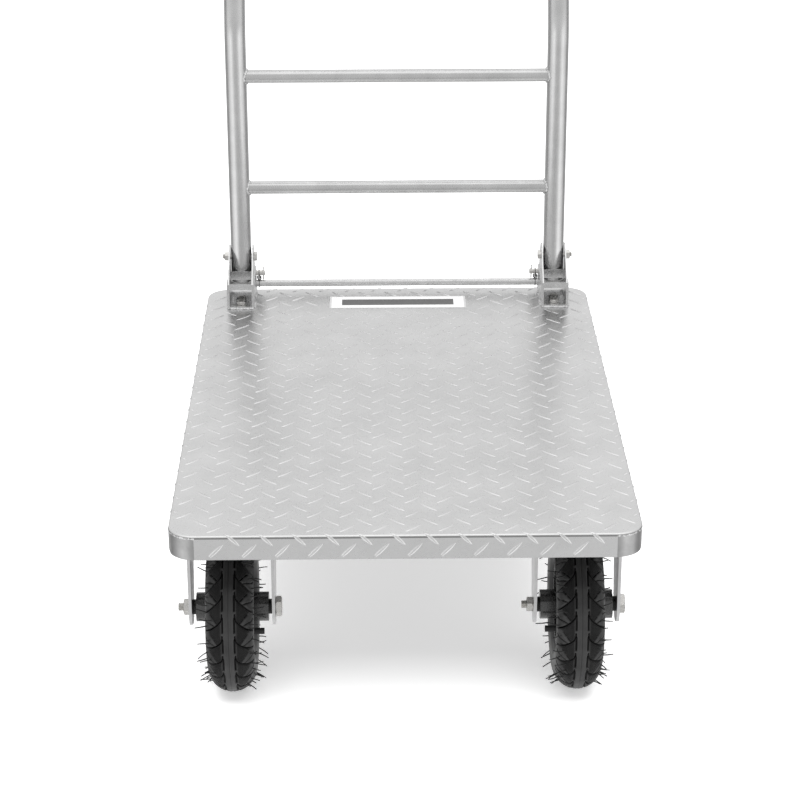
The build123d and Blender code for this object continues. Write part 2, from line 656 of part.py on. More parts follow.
def make_swivels():
    crown_top = PLATE_BOTTOM - RACE_HEIGHT - TUBE_GAP
    crown_under = crown_top - FORK_SHEET
    plates = []
    races = []
    kingpins = []
    for side, word in zip(SIDES, ("left", "right")):
        cx = side * WHEEL_X
        half = FORK_WIDTH / 2
        plate = block((cx - half, cx + half), (SWIVEL_Y - PLATE_LENGTH / 2, SWIVEL_Y + PLATE_LENGTH / 2),
                      (PLATE_BOTTOM, PLATE_TOP))
        plate = fillet(plate.edges().filter_by(Axis.Z), FORK_BEND_R)
        through = (PLATE_BOTTOM - OVERCUT, PLATE_TOP + OVERCUT)
        for dx, dy in corners(PLATE_BOLT_X, PLATE_BOLT_Y):
            plate -= bar_z(M10[0] / 2 + CLEARANCE, cx + dx, SWIVEL_Y + dy, through)
        pin_r = KINGPIN_DIAMETER / 2
        plates.append(plate - bar_z(pin_r + THREAD_GAP, cx, SWIVEL_Y, through))
        race = bar_z(RACE_DIAMETER / 2, cx, SWIVEL_Y, (crown_top + TUBE_GAP, PLATE_BOTTOM))
        races.append(race - bar_z(RACE_BORE / 2, cx, SWIVEL_Y, (crown_top, PLATE_BOTTOM)))
        foot_top = crown_under - TUBE_GAP
        pin = bar_z(pin_r, cx, SWIVEL_Y, (foot_top, PLATE_TOP))
        pin += bar_z(KINGPIN_HEAD[0] / 2, cx, SWIVEL_Y, (PLATE_TOP, PLATE_TOP + KINGPIN_HEAD[1]))
        pin += bar_z(KINGPIN_FOOT[0] / 2, cx, SWIVEL_Y, (foot_top - KINGPIN_FOOT[1], foot_top))
        kingpins.append(pin)

        reach = RACE_DIAMETER / 2 + FORK_EYE_R / 2
        crown = (SWIVEL_Y - reach, SWIVEL_Y + SWIVEL_TRAIL)
        leg_top = (SWIVEL_Y - reach + FORK_EYE_R / 2, SWIVEL_Y + SWIVEL_TRAIL)
        body = fork(cx, crown, crown_top, leg_top, REAR_AXLE_Y)
        body -= bar_z(pin_r + RUNNING, cx, SWIVEL_Y, (crown_under - OVERCUT, crown_top + OVERCUT))
        save(f"rear_fork_{word}", [body])
        save(f"rear_axle_bolt_{word}", [axle_bolt(cx, REAR_AXLE_Y)])
        save(f"rear_axle_nut_{word}", [axle_nut(cx, REAR_AXLE_Y)])
        save(f"rear_axle_spacers_{word}", axle_spacers(cx, REAR_AXLE_Y))
    save("swivel_plates", plates)
    save("swivel_races", races)
    save("kingpins", kingpins)


# ---------------------------------------------------------------- wheels, drawn about their own centre
def ring_of(section):
    """Turn a section, drawn as distance along the axle and radius, round the axle."""
    return revolve(section, Axis.X)


def section_oval(inset_width, inset_height):
    """Oval of the tyre's section, drawn in by the given walls."""
    return Pos(0, SECTION_R) * Ellipse(TYRE_WIDTH / 2 - inset_width, SECTION_HEIGHT - inset_height)


def rect(x, r):
    """Rectangle between two distances along the axle and two radii."""
    return Pos((x[0] + x[1]) / 2, (r[0] + r[1]) / 2) * Rectangle(abs(x[1] - x[0]), abs(r[1] - r[0]))


def tyre():
    """Hollow oval ring with a bead each side that sits in the rim."""
    bead_in = BEAD_FACE - BEAD_WIDTH
    section = section_oval(0, 0) - rect((-bead_in, bead_in), (0, BEAD_SEAT_R + BEAD_HEIGHT))
    section -= rect((-TYRE_WIDTH, TYRE_WIDTH), (0, BEAD_SEAT_R))
    for way in SIDES:
        section += rect((way * bead_in, way * BEAD_FACE), (BEAD_SEAT_R, BEAD_SEAT_R + BEAD_HEIGHT))
        section -= rect((way * BEAD_FACE, way * TYRE_WIDTH), (0, BEAD_SEAT_R + RIM_FLANGE + TUBE_GAP))
    return ring_of(section - section_oval(SIDEWALL_THICKNESS, TREAD_THICKNESS))


def valve_place():
    """Centre of the valve in Y and Z, in front of the axle and a little below it."""
    return (-math.sqrt(VALVE_CIRCLE_R**2 - VALVE_DROP**2), -VALVE_DROP)


def valve_arm(radius, low, high):
    """Round bar that points away from the axle at the valve's angle, on the +X side of the wheel."""
    y, z = valve_place()
    toward = Plane(origin=(VALVE_OFFSET, 0, 0), x_dir=(1, 0, 0), z_dir=(0, y, z))
    return extrude(toward.offset(low) * Circle(radius), amount=high - low)


def inner_tube():
    """Air tube with its bent valve, which leads to the +X side."""
    outer = (SIDEWALL_THICKNESS + TUBE_GAP, TREAD_THICKNESS + TUBE_GAP)
    inner = (outer[0] + TUBE_WALL, outer[1] + TUBE_WALL)
    y, z = valve_place()
    share = 1 - (VALVE_OFFSET / (TYRE_WIDTH / 2 - outer[0] - TUBE_WALL / 2)) ** 2
    root = SECTION_R - (SECTION_HEIGHT - outer[1] - TUBE_WALL / 2) * math.sqrt(share)
    radius = VALVE_DIAMETER / 2
    wall = section_oval(*outer) - section_oval(*inner)
    body = valve_arm(radius, VALVE_CIRCLE_R, root)
    body += bar_x(radius, (VALVE_OFFSET - radius, VALVE_REACH), y, z)
    for way in SIDES:
        body += ring_of(wall & rect((0, way * TYRE_WIDTH), (0, 2 * WHEEL_R)))
    bore = VALVE_BORE / 2
    body -= valve_arm(bore, VALVE_CIRCLE_R, root + TUBE_WALL)
    return body - bar_x(bore, (VALVE_OFFSET - bore, VALVE_REACH + OVERCUT), y, z)


def rim_half(way, inward):
    """Pressed half of the split rim: centre disc, bead seat and flange."""
    face = RIM_WIDTH / 2
    section = rect((0, way * RIM_SHEET), (HUB_DIAMETER / 2, BEAD_SEAT_R))
    section += rect((0, way * face), (BEAD_SEAT_R - RIM_SHEET, BEAD_SEAT_R))
    section += rect((way * BEAD_FACE, way * face), (BEAD_SEAT_R - RIM_SHEET, BEAD_SEAT_R + RIM_FLANGE))
    body = ring_of(section)
    for y, z in rim_bolt_places():
        body -= bar_x(M8[0] / 2 + CLEARANCE, (-face, face), y, z)
    if way == inward:
        hole = valve_arm(VALVE_DIAMETER / 2 + CLEARANCE, VALVE_CIRCLE_R, BEAD_SEAT_R + OVERCUT)
        body -= hole if inward > 0 else mirror(hole, about=Plane.YZ)
    return body


def rim_bolt_places():
    """Bolt circle of the rim's centre disc."""
    step = 2 * math.pi / RIM_BOLT_COUNT
    return [(RIM_BOLT_CIRCLE_R * math.cos(i * step), RIM_BOLT_CIRCLE_R * math.sin(i * step))
            for i in range(RIM_BOLT_COUNT)]


def rim_bolts(inward):
    """Bolts with their heads on the outer side and nuts on the side of the valve."""
    shank, flats, head, nut = M8
    outer = -inward * RIM_SHEET
    seat = inward * RIM_SHEET
    pieces = []
    for y, z in rim_bolt_places():
        tip = seat + inward * (nut + OVERCUT)
        pieces.append(hex_x(flats, (outer, outer - inward * head), y, z)
                      + bar_x(shank / 2, (outer, tip), y, z))
        pieces.append(hex_x(flats, (seat, seat + inward * nut), y, z)
                      - bar_x(shank / 2 + THREAD_GAP, (seat - inward, tip), y, z))
    return pieces


def hub():
    half = HUB_LENGTH / 2
    return bar_x(HUB_DIAMETER / 2, (-half, half), 0, 0) - bar_x(BEARING_DIAMETER / 2, (-half, half), 0, 0)


def bearings():
    half = HUB_LENGTH / 2
    return [bar_x(BEARING_DIAMETER / 2, span, 0, 0) - bar_x(AXLE_DIAMETER / 2 + RUNNING, span, 0, 0)
            for span in ((-half, BEARING_WIDTH - half), (half - BEARING_WIDTH, half))]


def make_wheels():
    air_tube = inner_tube()
    for side, word in zip(SIDES, ("left", "right")):
        inward = -side
        pieces = {
            "tyre": [tyre()],
            "inner_tube": [air_tube if inward > 0 else mirror(air_tube, about=Plane.YZ)],
            "rim": [rim_half(way, inward) for way in SIDES],
            "rim_bolts": rim_bolts(inward),
            "hub": [hub()],
            "bearings": bearings(),
        }
        for end, axle_y in (("front", FRONT_AXLE_Y), ("rear", REAR_AXLE_Y)):
            place = Pos(side * WHEEL_X, axle_y, WHEEL_R)
            for kind, solids in pieces.items():
                save(f"{end}_{word}_{kind}", [place * solid for solid in solids])


os.makedirs("parts", exist_ok=True)
make_deck()
make_frame()
make_brackets()
make_handle()
make_release()
make_front_casters()
make_caster_fixings()
make_swivels()
make_wheels()
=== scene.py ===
import json
import math

import bmesh
import bpy
import numpy as np
from mathutils import Matrix, Vector

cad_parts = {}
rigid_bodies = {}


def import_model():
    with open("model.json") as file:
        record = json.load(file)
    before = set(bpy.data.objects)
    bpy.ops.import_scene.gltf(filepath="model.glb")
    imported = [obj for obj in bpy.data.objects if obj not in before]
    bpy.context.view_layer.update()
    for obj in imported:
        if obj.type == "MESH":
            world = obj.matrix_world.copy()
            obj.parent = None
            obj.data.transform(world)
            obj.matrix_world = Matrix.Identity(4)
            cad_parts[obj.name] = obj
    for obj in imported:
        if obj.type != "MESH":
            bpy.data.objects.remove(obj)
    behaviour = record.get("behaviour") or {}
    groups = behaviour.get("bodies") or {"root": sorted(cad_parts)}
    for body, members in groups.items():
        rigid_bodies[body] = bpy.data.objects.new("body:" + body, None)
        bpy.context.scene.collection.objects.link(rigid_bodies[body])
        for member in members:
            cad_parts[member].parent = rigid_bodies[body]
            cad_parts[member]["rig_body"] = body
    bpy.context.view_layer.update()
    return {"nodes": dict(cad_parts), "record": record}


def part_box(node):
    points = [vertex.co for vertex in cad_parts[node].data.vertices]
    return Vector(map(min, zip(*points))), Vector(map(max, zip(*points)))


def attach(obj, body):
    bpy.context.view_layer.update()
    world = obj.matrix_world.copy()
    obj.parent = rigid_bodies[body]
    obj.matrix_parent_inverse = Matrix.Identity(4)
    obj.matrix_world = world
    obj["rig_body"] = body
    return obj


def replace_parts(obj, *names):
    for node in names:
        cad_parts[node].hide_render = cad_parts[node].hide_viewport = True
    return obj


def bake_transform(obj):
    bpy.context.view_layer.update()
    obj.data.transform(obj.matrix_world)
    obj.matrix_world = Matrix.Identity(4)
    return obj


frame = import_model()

# Flatbed platform truck: the finished surfaces, worked out around the fixed frame. Metres.

MM = 0.001
SIDES = (-1.0, 1.0)
NODES = frame["nodes"]
TAU = 2.0 * math.pi
SHARP_ANGLE = math.radians(38)
WELD_DISTANCE = 1e-6
BEAD_SIDES = 10


def spot(node):
    """Lowest and highest corner of a node as arrays."""
    low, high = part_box(node)
    return np.array(low), np.array(high)


# ---------------------------------------------------------------- places read from the frame
DECK_LOW, DECK_HIGH = spot("deck_plate")
DECK_MID = (DECK_LOW + DECK_HIGH) / 2
DECK_TOP = DECK_HIGH[2]
DECK_HALF_X = (DECK_HIGH[0] - DECK_LOW[0]) / 2
DECK_HALF_Y = (DECK_HIGH[1] - DECK_LOW[1]) / 2
SKIRT_DEPTH = DECK_HIGH[2] - DECK_LOW[2]
ROD_LOW, ROD_HIGH = spot("release_rod")
LABEL_LOW, LABEL_HIGH = spot("label")
HANDLE_LOW, HANDLE_HIGH = spot("handle_tube")


# ---------------------------------------------------------------- mesh making
def add_object(name, data):
    """Object in the scene that shows the given data."""
    made = bpy.data.objects.new(name, data)
    bpy.context.scene.collection.objects.link(made)
    return made


def mesh_piece(name, points, faces, body, material, smooth):
    """One object from an array of points and a list of faces, with doubled points joined."""
    mesh = bpy.data.meshes.new(name)
    mesh.from_pydata(points.tolist(), [], faces)
    work = bmesh.new()
    work.from_mesh(mesh)
    bmesh.ops.remove_doubles(work, verts=work.verts, dist=WELD_DISTANCE)
    bmesh.ops.recalc_face_normals(work, faces=work.faces)
    work.to_mesh(mesh)
    work.free()
    mesh.polygons.foreach_set("use_smooth", np.full(len(mesh.polygons), smooth))
    if smooth:
        mesh.set_sharp_from_angle(angle=SHARP_ANGLE)
    mesh.materials.append(material)
    piece = add_object(name, mesh)
    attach(piece, body)
    return piece


def grid_faces(rows, columns, close_rows=False, close_columns=False):
    """Quads of a rows by columns grid of points numbered row by row."""
    row, column = np.meshgrid(np.arange(rows if close_rows else rows - 1),
                              np.arange(columns if close_columns else columns - 1), indexing="ij")
    next_row = (row + 1) % rows * columns
    next_column = (column + 1) % columns
    row = row * columns
    quads = np.stack([row + column, row + next_column, next_row + next_column, next_row + column], -1)
    return quads.reshape(-1, 4)


class Shell:
    """Collects grids and caps of one piece."""

    def __init__(self):
        self.points = []
        self.faces = []
        self.count = 0

    def grid(self, points, close_rows=False, close_columns=False):
        """Adds a rows by columns by 3 array of points as quads."""
        rows, columns = points.shape[:2]
        quads = grid_faces(rows, columns, close_rows, close_columns) + self.count
        self.faces.extend(map(tuple, quads.tolist()))
        self.points.append(points.reshape(-1, 3))
        self.count += rows * columns

    def cap(self, ring):
        """Adds a flat face over a ring of points."""
        self.faces.append(tuple(range(self.count, self.count + len(ring))))
        self.points.append(ring)
        self.count += len(ring)

    def drum(self, rings):
        """Adds a row of rings as one wall, with a flat face over the first and the last."""
        self.grid(rings, close_columns=True)
        self.cap(rings[0])
        self.cap(rings[-1])

    def piece(self, name, body, material, slot, smooth=True):
        """Makes the object; its faces are turned outward there."""
        return mesh_piece(name, np.concatenate(self.points), self.faces, body, material, smooth)


def frames_along(path, closed=False):
    """Tangent, and two normals turned as little as possible, at each point of a path."""
    if closed:
        tangent = np.roll(path, -1, 0) - np.roll(path, 1, 0)
    else:
        tangent = np.gradient(path, axis=0)
    tangent /= np.linalg.norm(tangent, axis=1)[:, None]
    side = np.cross(tangent[0], [0.0, 0.0, 1.0])
    if np.linalg.norm(side) < 0.1:
        side = np.cross(tangent[0], [0.0, 1.0, 0.0])
    normal = np.empty_like(path)
    for i, t in enumerate(tangent):
        side = side - t * np.dot(side, t)
        side = side / np.linalg.norm(side)
        normal[i] = side
    return tangent, normal, np.cross(tangent, normal)


def rings_about(path, radius, normal, binormal, sides):
    """Ring of points about each point of a path: centre + radius (cos a * normal + sin a * binormal)."""
    a = np.linspace(0, TAU, sides, endpoint=False)
    ring = np.cos(a)[None, :, None] * normal[:, None, :] + np.sin(a)[None, :, None] * binormal[:, None, :]
    return path[:, None, :] + np.broadcast_to(radius, len(path))[:, None, None] * ring


def add_tube(shell, path, radius, sides, closed=False):
    """Tube of given radius along the path: a loop when closed, otherwise with flat ends."""
    _, normal, binormal = frames_along(path, closed)
    rings = rings_about(path, radius, normal, binormal, sides)
    if closed:
        shell.grid(rings, close_rows=True, close_columns=True)
    else:
        shell.drum(rings)


def smooth_noise(count, cells, rng, closed=True):
    """Random wave with the given number of bumps, sampled at count places."""
    knots = rng.uniform(-1, 1, cells)
    where = np.linspace(0, cells, count, endpoint=not closed)
    low = np.floor(where).astype(int)
    t = where - low
    t = t * t * (3 - 2 * t)
    a = knots[low % cells]
    b = knots[(low + 1) % cells] if closed else knots[np.minimum(low + 1, cells - 1)]
    return a * (1 - t) + b * t


def add_weld(shell, path, thick, uneven, bumps, rng, tip=0.0004):
    """Weld bead: tube along the path with radius thick + uneven * noise, thin at both ends."""
    radius = thick + uneven * smooth_noise(len(path), bumps, rng, closed=False)
    radius[[0, -1]] = tip
    add_tube(shell, path, radius, BEAD_SIDES)


# ---------------------------------------------------------------- materials
def feed(tree, socket, value):
    """Links a socket to another node's output, or sets it to a plain value."""
    if hasattr(value, "is_output"):
        tree.links.new(value, socket)
    else:
        socket.default_value = value


def math_node(tree, operation, a, b=0.0):
    """Result of one operation on one or two values."""
    made = tree.nodes.new("ShaderNodeMath")
    made.operation = operation
    feed(tree, made.inputs[0], a)
    feed(tree, made.inputs[1], b)
    return made.outputs["Value"]


def rescale(tree, value, low, high, to_low, to_high, kind="LINEAR"):
    """Value taken from the range low..high to the range to_low..to_high."""
    made = tree.nodes.new("ShaderNodeMapRange")
    made.interpolation_type = kind
    for key, number in (("Value", value), ("From Min", low), ("From Max", high), ("To Min", to_low),
                        ("To Max", to_high)):
        feed(tree, made.inputs[key], number)
    return made.outputs["Result"]


def colour_ramp(tree, source, stops, kind="LINEAR"):
    """Colour ramp through (position, colour) stops."""
    made = tree.nodes.new("ShaderNodeValToRGB")
    ramp = made.color_ramp
    ramp.interpolation = kind
    while len(ramp.elements) < len(stops):
        ramp.elements.new(0.5)
    for element, (position, colour) in zip(ramp.elements, stops):
        element.position = position
        element.color = (*colour, 1.0)
    tree.links.new(source, made.inputs["Fac"])
    return made.outputs["Color"]


class Finish:
    """Small helper round one node material."""

    def __init__(self, name):
        self.material = bpy.data.materials.new(name)
        self.material.use_nodes = True
        self.tree = self.material.node_tree
        self.shader = self.tree.nodes["Principled BSDF"]
        self.place = self.tree.nodes.new("ShaderNodeTexCoord").outputs["Object"]

    def set(self, **values):
        for key, value in values.items():
            self.shader.inputs[key.replace("_", " ")].default_value = value

    def node(self, kind, inputs=(), **settings):
        made = self.tree.nodes.new(kind)
        for key, value in settings.items():
            setattr(made, key, value)
        for key, value in dict(inputs).items():
            feed(self.tree, made.inputs[key], value)
        return made

    def axes(self):
        """X, Y and Z of each place on the piece."""
        return self.node("ShaderNodeSeparateXYZ", {"Vector": self.place}).outputs

    def attribute(self, name):
        return self.node("ShaderNodeAttribute", attribute_name=name, attribute_type="GEOMETRY").outputs["Fac"]

    def stretch(self, scale, source=None):
        """Coordinates times a scale for each axis."""
        made = self.node("ShaderNodeMapping", {"Scale": scale, "Vector": source or self.place})
        return made.outputs["Vector"]

    def noise(self, scale, detail=3.0, roughness=0.55, vector=None):
        made = self.node("ShaderNodeTexNoise", {"Scale": scale, "Detail": detail, "Roughness": roughness,
                                                "Vector": vector or self.place})
        return made.outputs["Fac"]

    def ramp(self, source, stops):
        return colour_ramp(self.tree, source, stops)

    def span(self, source, low, high, from_low=0.0, from_high=1.0):
        """Value taken from the range from_low..from_high to the range low..high."""
        return rescale(self.tree, source, from_low, from_high, low, high)

    def math(self, operation, a, b=0.0):
        return math_node(self.tree, operation, a, b)

    def colour(self, source):
        feed(self.tree, self.shader.inputs["Base Color"], source)

    def roughness(self, source):
        feed(self.tree, self.shader.inputs["Roughness"], source)

    def bump(self, height, distance, strength):
        made = self.node("ShaderNodeBump", {"Strength": strength, "Distance": distance, "Height": height})
        feed(self.tree, self.shader.inputs["Normal"], made.outputs["Normal"])


def grey(value):
    return (value, value, value)


GRAIN_DEPTH = 0.00003
# Colour factor of the painted shade band on the deck's fold.
FOLD_SHADE_TONE = 0.42
# Places of a mix node's two colours and of its colour result, whose names are shared with its other types.
MIX_A, MIX_B, MIX_RESULT = 6, 7, 2


def zinc(name, light, dark, rough=(0.3, 0.45), grain=(400.0, 400.0, 400.0), cell=60.0, bend=None):
    """Zinc or silver metal: cloudy tone, fine grain, slightly uneven gloss, and a painted shade band that
    darkens the colour between two bend heights.
    """
    f = Finish(name)
    f.set(Metallic=1.0)
    cloud = f.noise(cell, 4.0, 0.6)
    tone = f.ramp(cloud, [(0.3, dark), (0.7, light)])
    if bend:
        # Painted shade: between the two bend heights the colour is multiplied down to the band's tone.
        place = f.span(f.axes()["Z"], 0.0, 1.0, *bend)
        fold_shade_stops = ((0.0, 1.0), (0.15, FOLD_SHADE_TONE), (0.7, FOLD_SHADE_TONE), (1.0, 1.0))
        line = f.ramp(place, [(stop, grey(value)) for stop, value in fold_shade_stops])
        mix = f.node("ShaderNodeMix", {"Factor": 1.0, MIX_A: tone, MIX_B: line},
                     data_type="RGBA", blend_type="MULTIPLY")
        tone = mix.outputs[MIX_RESULT]
    f.colour(tone)
    fine = f.noise(1.0, 2.0, 0.5, f.stretch(grain))
    f.roughness(f.span(fine, *rough, 0.3, 0.7))
    f.bump(fine, GRAIN_DEPTH, 0.6)
    return f.material


def rubber(name):
    """Tyre rubber: painted shade makes the grooves near black and darkens the knurled panels, most in the
    hollows of the diamond knurl; the panels are dull, the blocks smoother.
    """
    f = Finish(name)
    knurl = f.attribute("knurl")
    # Painted shade in the grooves: 1 on the open face, 0.04 in the grooves, multiplied into both the specular
    # level and the colour.
    groove_shade = f.span(f.attribute("groove"), 1.0, 0.04)
    shine = f.math("MULTIPLY", groove_shade, f.span(knurl, 0.36, 0.12))
    feed(f.tree, f.shader.inputs["Specular IOR Level"], shine)
    uv = f.node("ShaderNodeUVMap", uv_map="tread").outputs["UV"]
    waves = []
    for lean in SIDES:
        wave = f.node("ShaderNodeTexWave",
                      {"Scale": 1.0, "Distortion": 0.0, "Vector": f.stretch((0.3, 0.3 * lean, 0.0), uv)},
                      wave_type="BANDS", bands_direction="DIAGONAL")
        waves.append(wave.outputs["Fac"])
    diamonds = f.math("MINIMUM", *waves)
    # Painted shade in the knurled panels: the colour drops most in the hollows between the diamonds.
    panel = f.math("SUBTRACT", 1.0, f.math("MULTIPLY", knurl, f.span(diamonds, 0.75, 0.15)))
    cloud = f.noise(35.0, 4.0)
    tone = f.math("MULTIPLY", f.math("MULTIPLY", f.span(cloud, 0.7, 1.3, 0.3, 0.7), groove_shade), panel)
    f.colour(f.ramp(f.math("MULTIPLY", tone, 0.5), [(0.0, grey(0.0)), (1.0, grey(0.044))]))
    fine = f.noise(900.0, 2.0)
    f.bump(f.math("ADD", f.math("MULTIPLY", diamonds, knurl), f.math("MULTIPLY", fine, 0.12)), 0.0005, 0.9)
    f.roughness(f.span(f.noise(60.0, 3.0), 0.30, 0.46, 0.3, 0.7))
    return f.material


def gloss_paint(name, tone, rough=(0.18, 0.3)):
    """Dark paint with slight orange peel."""
    f = Finish(name)
    f.set(Specular_IOR_Level=0.9, Coat_Weight=0.5, Coat_Roughness=0.12)
    f.colour(f.ramp(f.noise(30.0), [(0.3, grey(tone * 0.8)), (0.7, grey(tone * 1.2))]))
    peel = f.noise(350.0, 2.0)
    f.roughness(f.span(peel, *rough, 0.3, 0.7))
    f.bump(peel, 0.00008, 0.4)
    return f.material


def moulded(name, colour, rough=0.5):
    """Moulded plastic or rubber with a fine matt texture."""
    f = Finish(name)
    f.colour(f.ramp(f.noise(80.0), [(0.3, [c * 0.85 for c in colour]), (0.7, [c * 1.1 for c in colour])]))
    fine = f.noise(1200.0, 2.0)
    f.roughness(f.span(fine, rough - 0.08, rough + 0.08, 0.3, 0.7))
    f.bump(fine, 0.00005, 0.5)
    return f.material


def weld_metal(name):
    """Silvered weld: pale crinkled metal with dark pits."""
    f = Finish(name)
    f.set(Metallic=0.85)
    pits = f.noise(420.0, 5.0, 0.7)
    f.colour(f.ramp(pits, [(0.36, grey(0.16)), (0.47, grey(0.7)), (0.7, grey(0.95))]))
    f.roughness(f.span(pits, 0.25, 0.5, 0.3, 0.7))
    f.bump(pits, 0.0006, 1.0)
    return f.material


LABEL_BAR = (0.82, 0.48)
LABEL_BORDER = 0.003


def label_print(name):
    """Pale film with a thin border and one plain dark bar, both by distance from the label's middle."""
    f = Finish(name)
    axes = f.axes()
    bars, edges = [], []
    for i, axis in enumerate("XY"):
        mid = float((LABEL_LOW[i] + LABEL_HIGH[i]) / 2)
        half = float(LABEL_HIGH[i] - mid)
        away = f.math("ABSOLUTE", f.math("SUBTRACT", axes[axis], mid))
        bars.append(f.math("LESS_THAN", away, LABEL_BAR[i] * half))
        edges.append(f.math("GREATER_THAN", away, half - LABEL_BORDER))
    bar = f.math("MULTIPLY", *bars)
    edge = f.math("MAXIMUM", *edges)
    tone = f.math("MAXIMUM", f.math("MULTIPLY", bar, 0.93), f.math("MULTIPLY", edge, 0.35))
    f.colour(f.ramp(tone, [(0.0, grey(0.66)), (1.0, grey(0.02))]))
    film = f.noise(500.0, 2.0)
    f.roughness(f.span(film, 0.3, 0.42, 0.3, 0.7))
    f.bump(film, 0.00004, 0.3)
    return f.material


# Heights of the painted shade band on the deck's fold, 4 mm to 1.2 mm below the deck top.
FOLD_SHADE_BAND = (float(DECK_TOP) - 0.0040, float(DECK_TOP) - 0.0012)
DECK_ZINC = zinc("deck_zinc", grey(0.79), grey(0.72), (0.26, 0.38), cell=14.0, bend=FOLD_SHADE_BAND)
BAR_ZINC = zinc("bar_zinc", grey(0.82), grey(0.74), (0.24, 0.34), cell=14.0)
STRIP_STEEL = zinc("strip_steel", grey(0.52), grey(0.40), (0.30, 0.46), cell=40.0)
FRAME_SILVER = zinc("frame_silver", grey(0.58), grey(0.48), (0.4, 0.55))
HANDLE_SILVER = zinc("handle_silver", grey(0.70), grey(0.60), (0.22, 0.34), (900.0, 900.0, 30.0), cell=25.0)
BRACKET_ZINC = zinc("bracket_zinc", grey(0.78), grey(0.66), (0.22, 0.36))
FORK_ZINC = zinc("fork_zinc", grey(0.82), grey(0.72), (0.28, 0.42))
FASTENER_ZINC = zinc("fastener_zinc", (0.74, 0.73, 0.71), (0.60, 0.59, 0.57), (0.2, 0.35), cell=200.0)
SPRING_STEEL = zinc("spring_steel", grey(0.22), grey(0.12), (0.3, 0.45), cell=300.0)
BEARING_STEEL = zinc("bearing_steel", grey(0.6), grey(0.5), (0.2, 0.3))
WELD = weld_metal("weld_bead")
TYRE_RUBBER = rubber("tyre_rubber")
WHISKER_RUBBER = moulded("whisker_rubber", grey(0.008), 0.6)
RIM_BLACK = gloss_paint("rim_black", 0.026)
SPACER_BLACK = moulded("spacer_black", grey(0.012), 0.45)
TUBE_RUBBER = moulded("tube_rubber", grey(0.014), 0.5)
LABEL_FILM = label_print("label_film")

SLOT_FINISH = {
    "deck_zinc": DECK_ZINC, "strip_steel": STRIP_STEEL, "frame_silver": FRAME_SILVER,
    "handle_silver": HANDLE_SILVER, "bracket_zinc": BRACKET_ZINC, "fork_zinc": FORK_ZINC,
    "fastener_zinc": FASTENER_ZINC, "spring_steel": SPRING_STEEL, "label_film": LABEL_FILM,
    "spacer_black": SPACER_BLACK, "tyre_rubber": TYRE_RUBBER, "tube_rubber": TUBE_RUBBER,
    "rim_black": RIM_BLACK, "bearing_steel": BEARING_STEEL,
}


def dress_nodes():
    """Gives every carried-over node the finish of its slot."""
    for part in frame["record"]["subparts"]:
        node = NODES[part["node"]]
        node.data.materials.clear()
        node.data.materials.append(SLOT_FINISH[part["material_slot"]])


# ---------------------------------------------------------------- deck
FOLD_R = 0.003
SHEET = 0.002
CORNER_R = 0.035
BAR_RISE = 0.0009
SKIN_X = DECK_HALF_X - BAR_RISE
SKIN_Y = DECK_HALF_Y - BAR_RISE
ARC_STEPS = 17
STRIP_STEPS = 33
CORNERS = ((1, 1), (-1, 1), (-1, -1), (1, -1))
FLANGE_LIP = 0.0006
STRIP_LIP = 0.0005
STRIP_DROP = 0.0012
CORNER_SEAM = 0.003
DIAGONAL = math.sqrt(0.5)


def rounded_outline(inset):
    """Deck outline drawn in by inset: four quarter circles joined by straight runs, anticlockwise."""
    radius = CORNER_R - BAR_RISE - inset
    cx = SKIN_X - inset - radius
    cy = SKIN_Y - inset - radius
    parts = []
    for i, (sx, sy) in enumerate(CORNERS):
        a = np.linspace(0, TAU / 4, ARC_STEPS) + i * TAU / 4
        parts.append(np.stack([sx * cx + radius * np.cos(a), sy * cy + radius * np.sin(a)], 1))
    return np.concatenate(parts)


def lift(flat, z):
    """Flat outline at a height, about the deck's middle."""
    return np.column_stack([flat[:, 0] + DECK_MID[0], flat[:, 1] + DECK_MID[1], np.full(len(flat), z)])


def skirt_section(top, lip):
    """Outline of a hanging sheet: depths behind its face, and heights, with both lower corners cut."""
    low = DECK_TOP - SKIRT_DEPTH
    depth = np.array([0, 0, lip, SHEET - lip, SHEET, SHEET])
    return depth, np.array([top, low + lip, low, low, low + lip, top])


def make_deck_sheet():
    """Folded tray: inset R (1 - cos t) and drop R (1 - sin t) round the fold, and a flange on each side."""
    shell = Shell()
    rings = [lift(rounded_outline(SHEET), z) for z in (DECK_TOP - SHEET, DECK_TOP - FOLD_R)]
    for t in np.linspace(0, TAU / 4, 7):
        rings.append(lift(rounded_outline(FOLD_R * (1 - math.cos(t))), DECK_TOP - FOLD_R * (1 - math.sin(t))))
    shell.drum(np.stack(rings))
    top = shell.piece("deck_sheet", "root", DECK_ZINC, "deck_zinc")
    flanges = Shell()
    half = (SKIN_X, SKIN_Y)
    depth, height = skirt_section(DECK_TOP - FOLD_R, FLANGE_LIP)
    for axis in (0, 1):
        other = 1 - axis
        run = half[axis] - CORNER_R + BAR_RISE
        for side in SIDES:
            points = np.zeros((2, len(depth), 3))
            points[:, :, axis] = np.array([-run, run])[:, None] + DECK_MID[axis]
            points[:, :, other] = side * (half[other] - depth) + DECK_MID[other]
            points[:, :, 2] = height
            flanges.drum(points)
    flanges.piece("deck_flanges", "root", DECK_ZINC, "deck_zinc", smooth=False)
    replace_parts(top, "deck_plate")


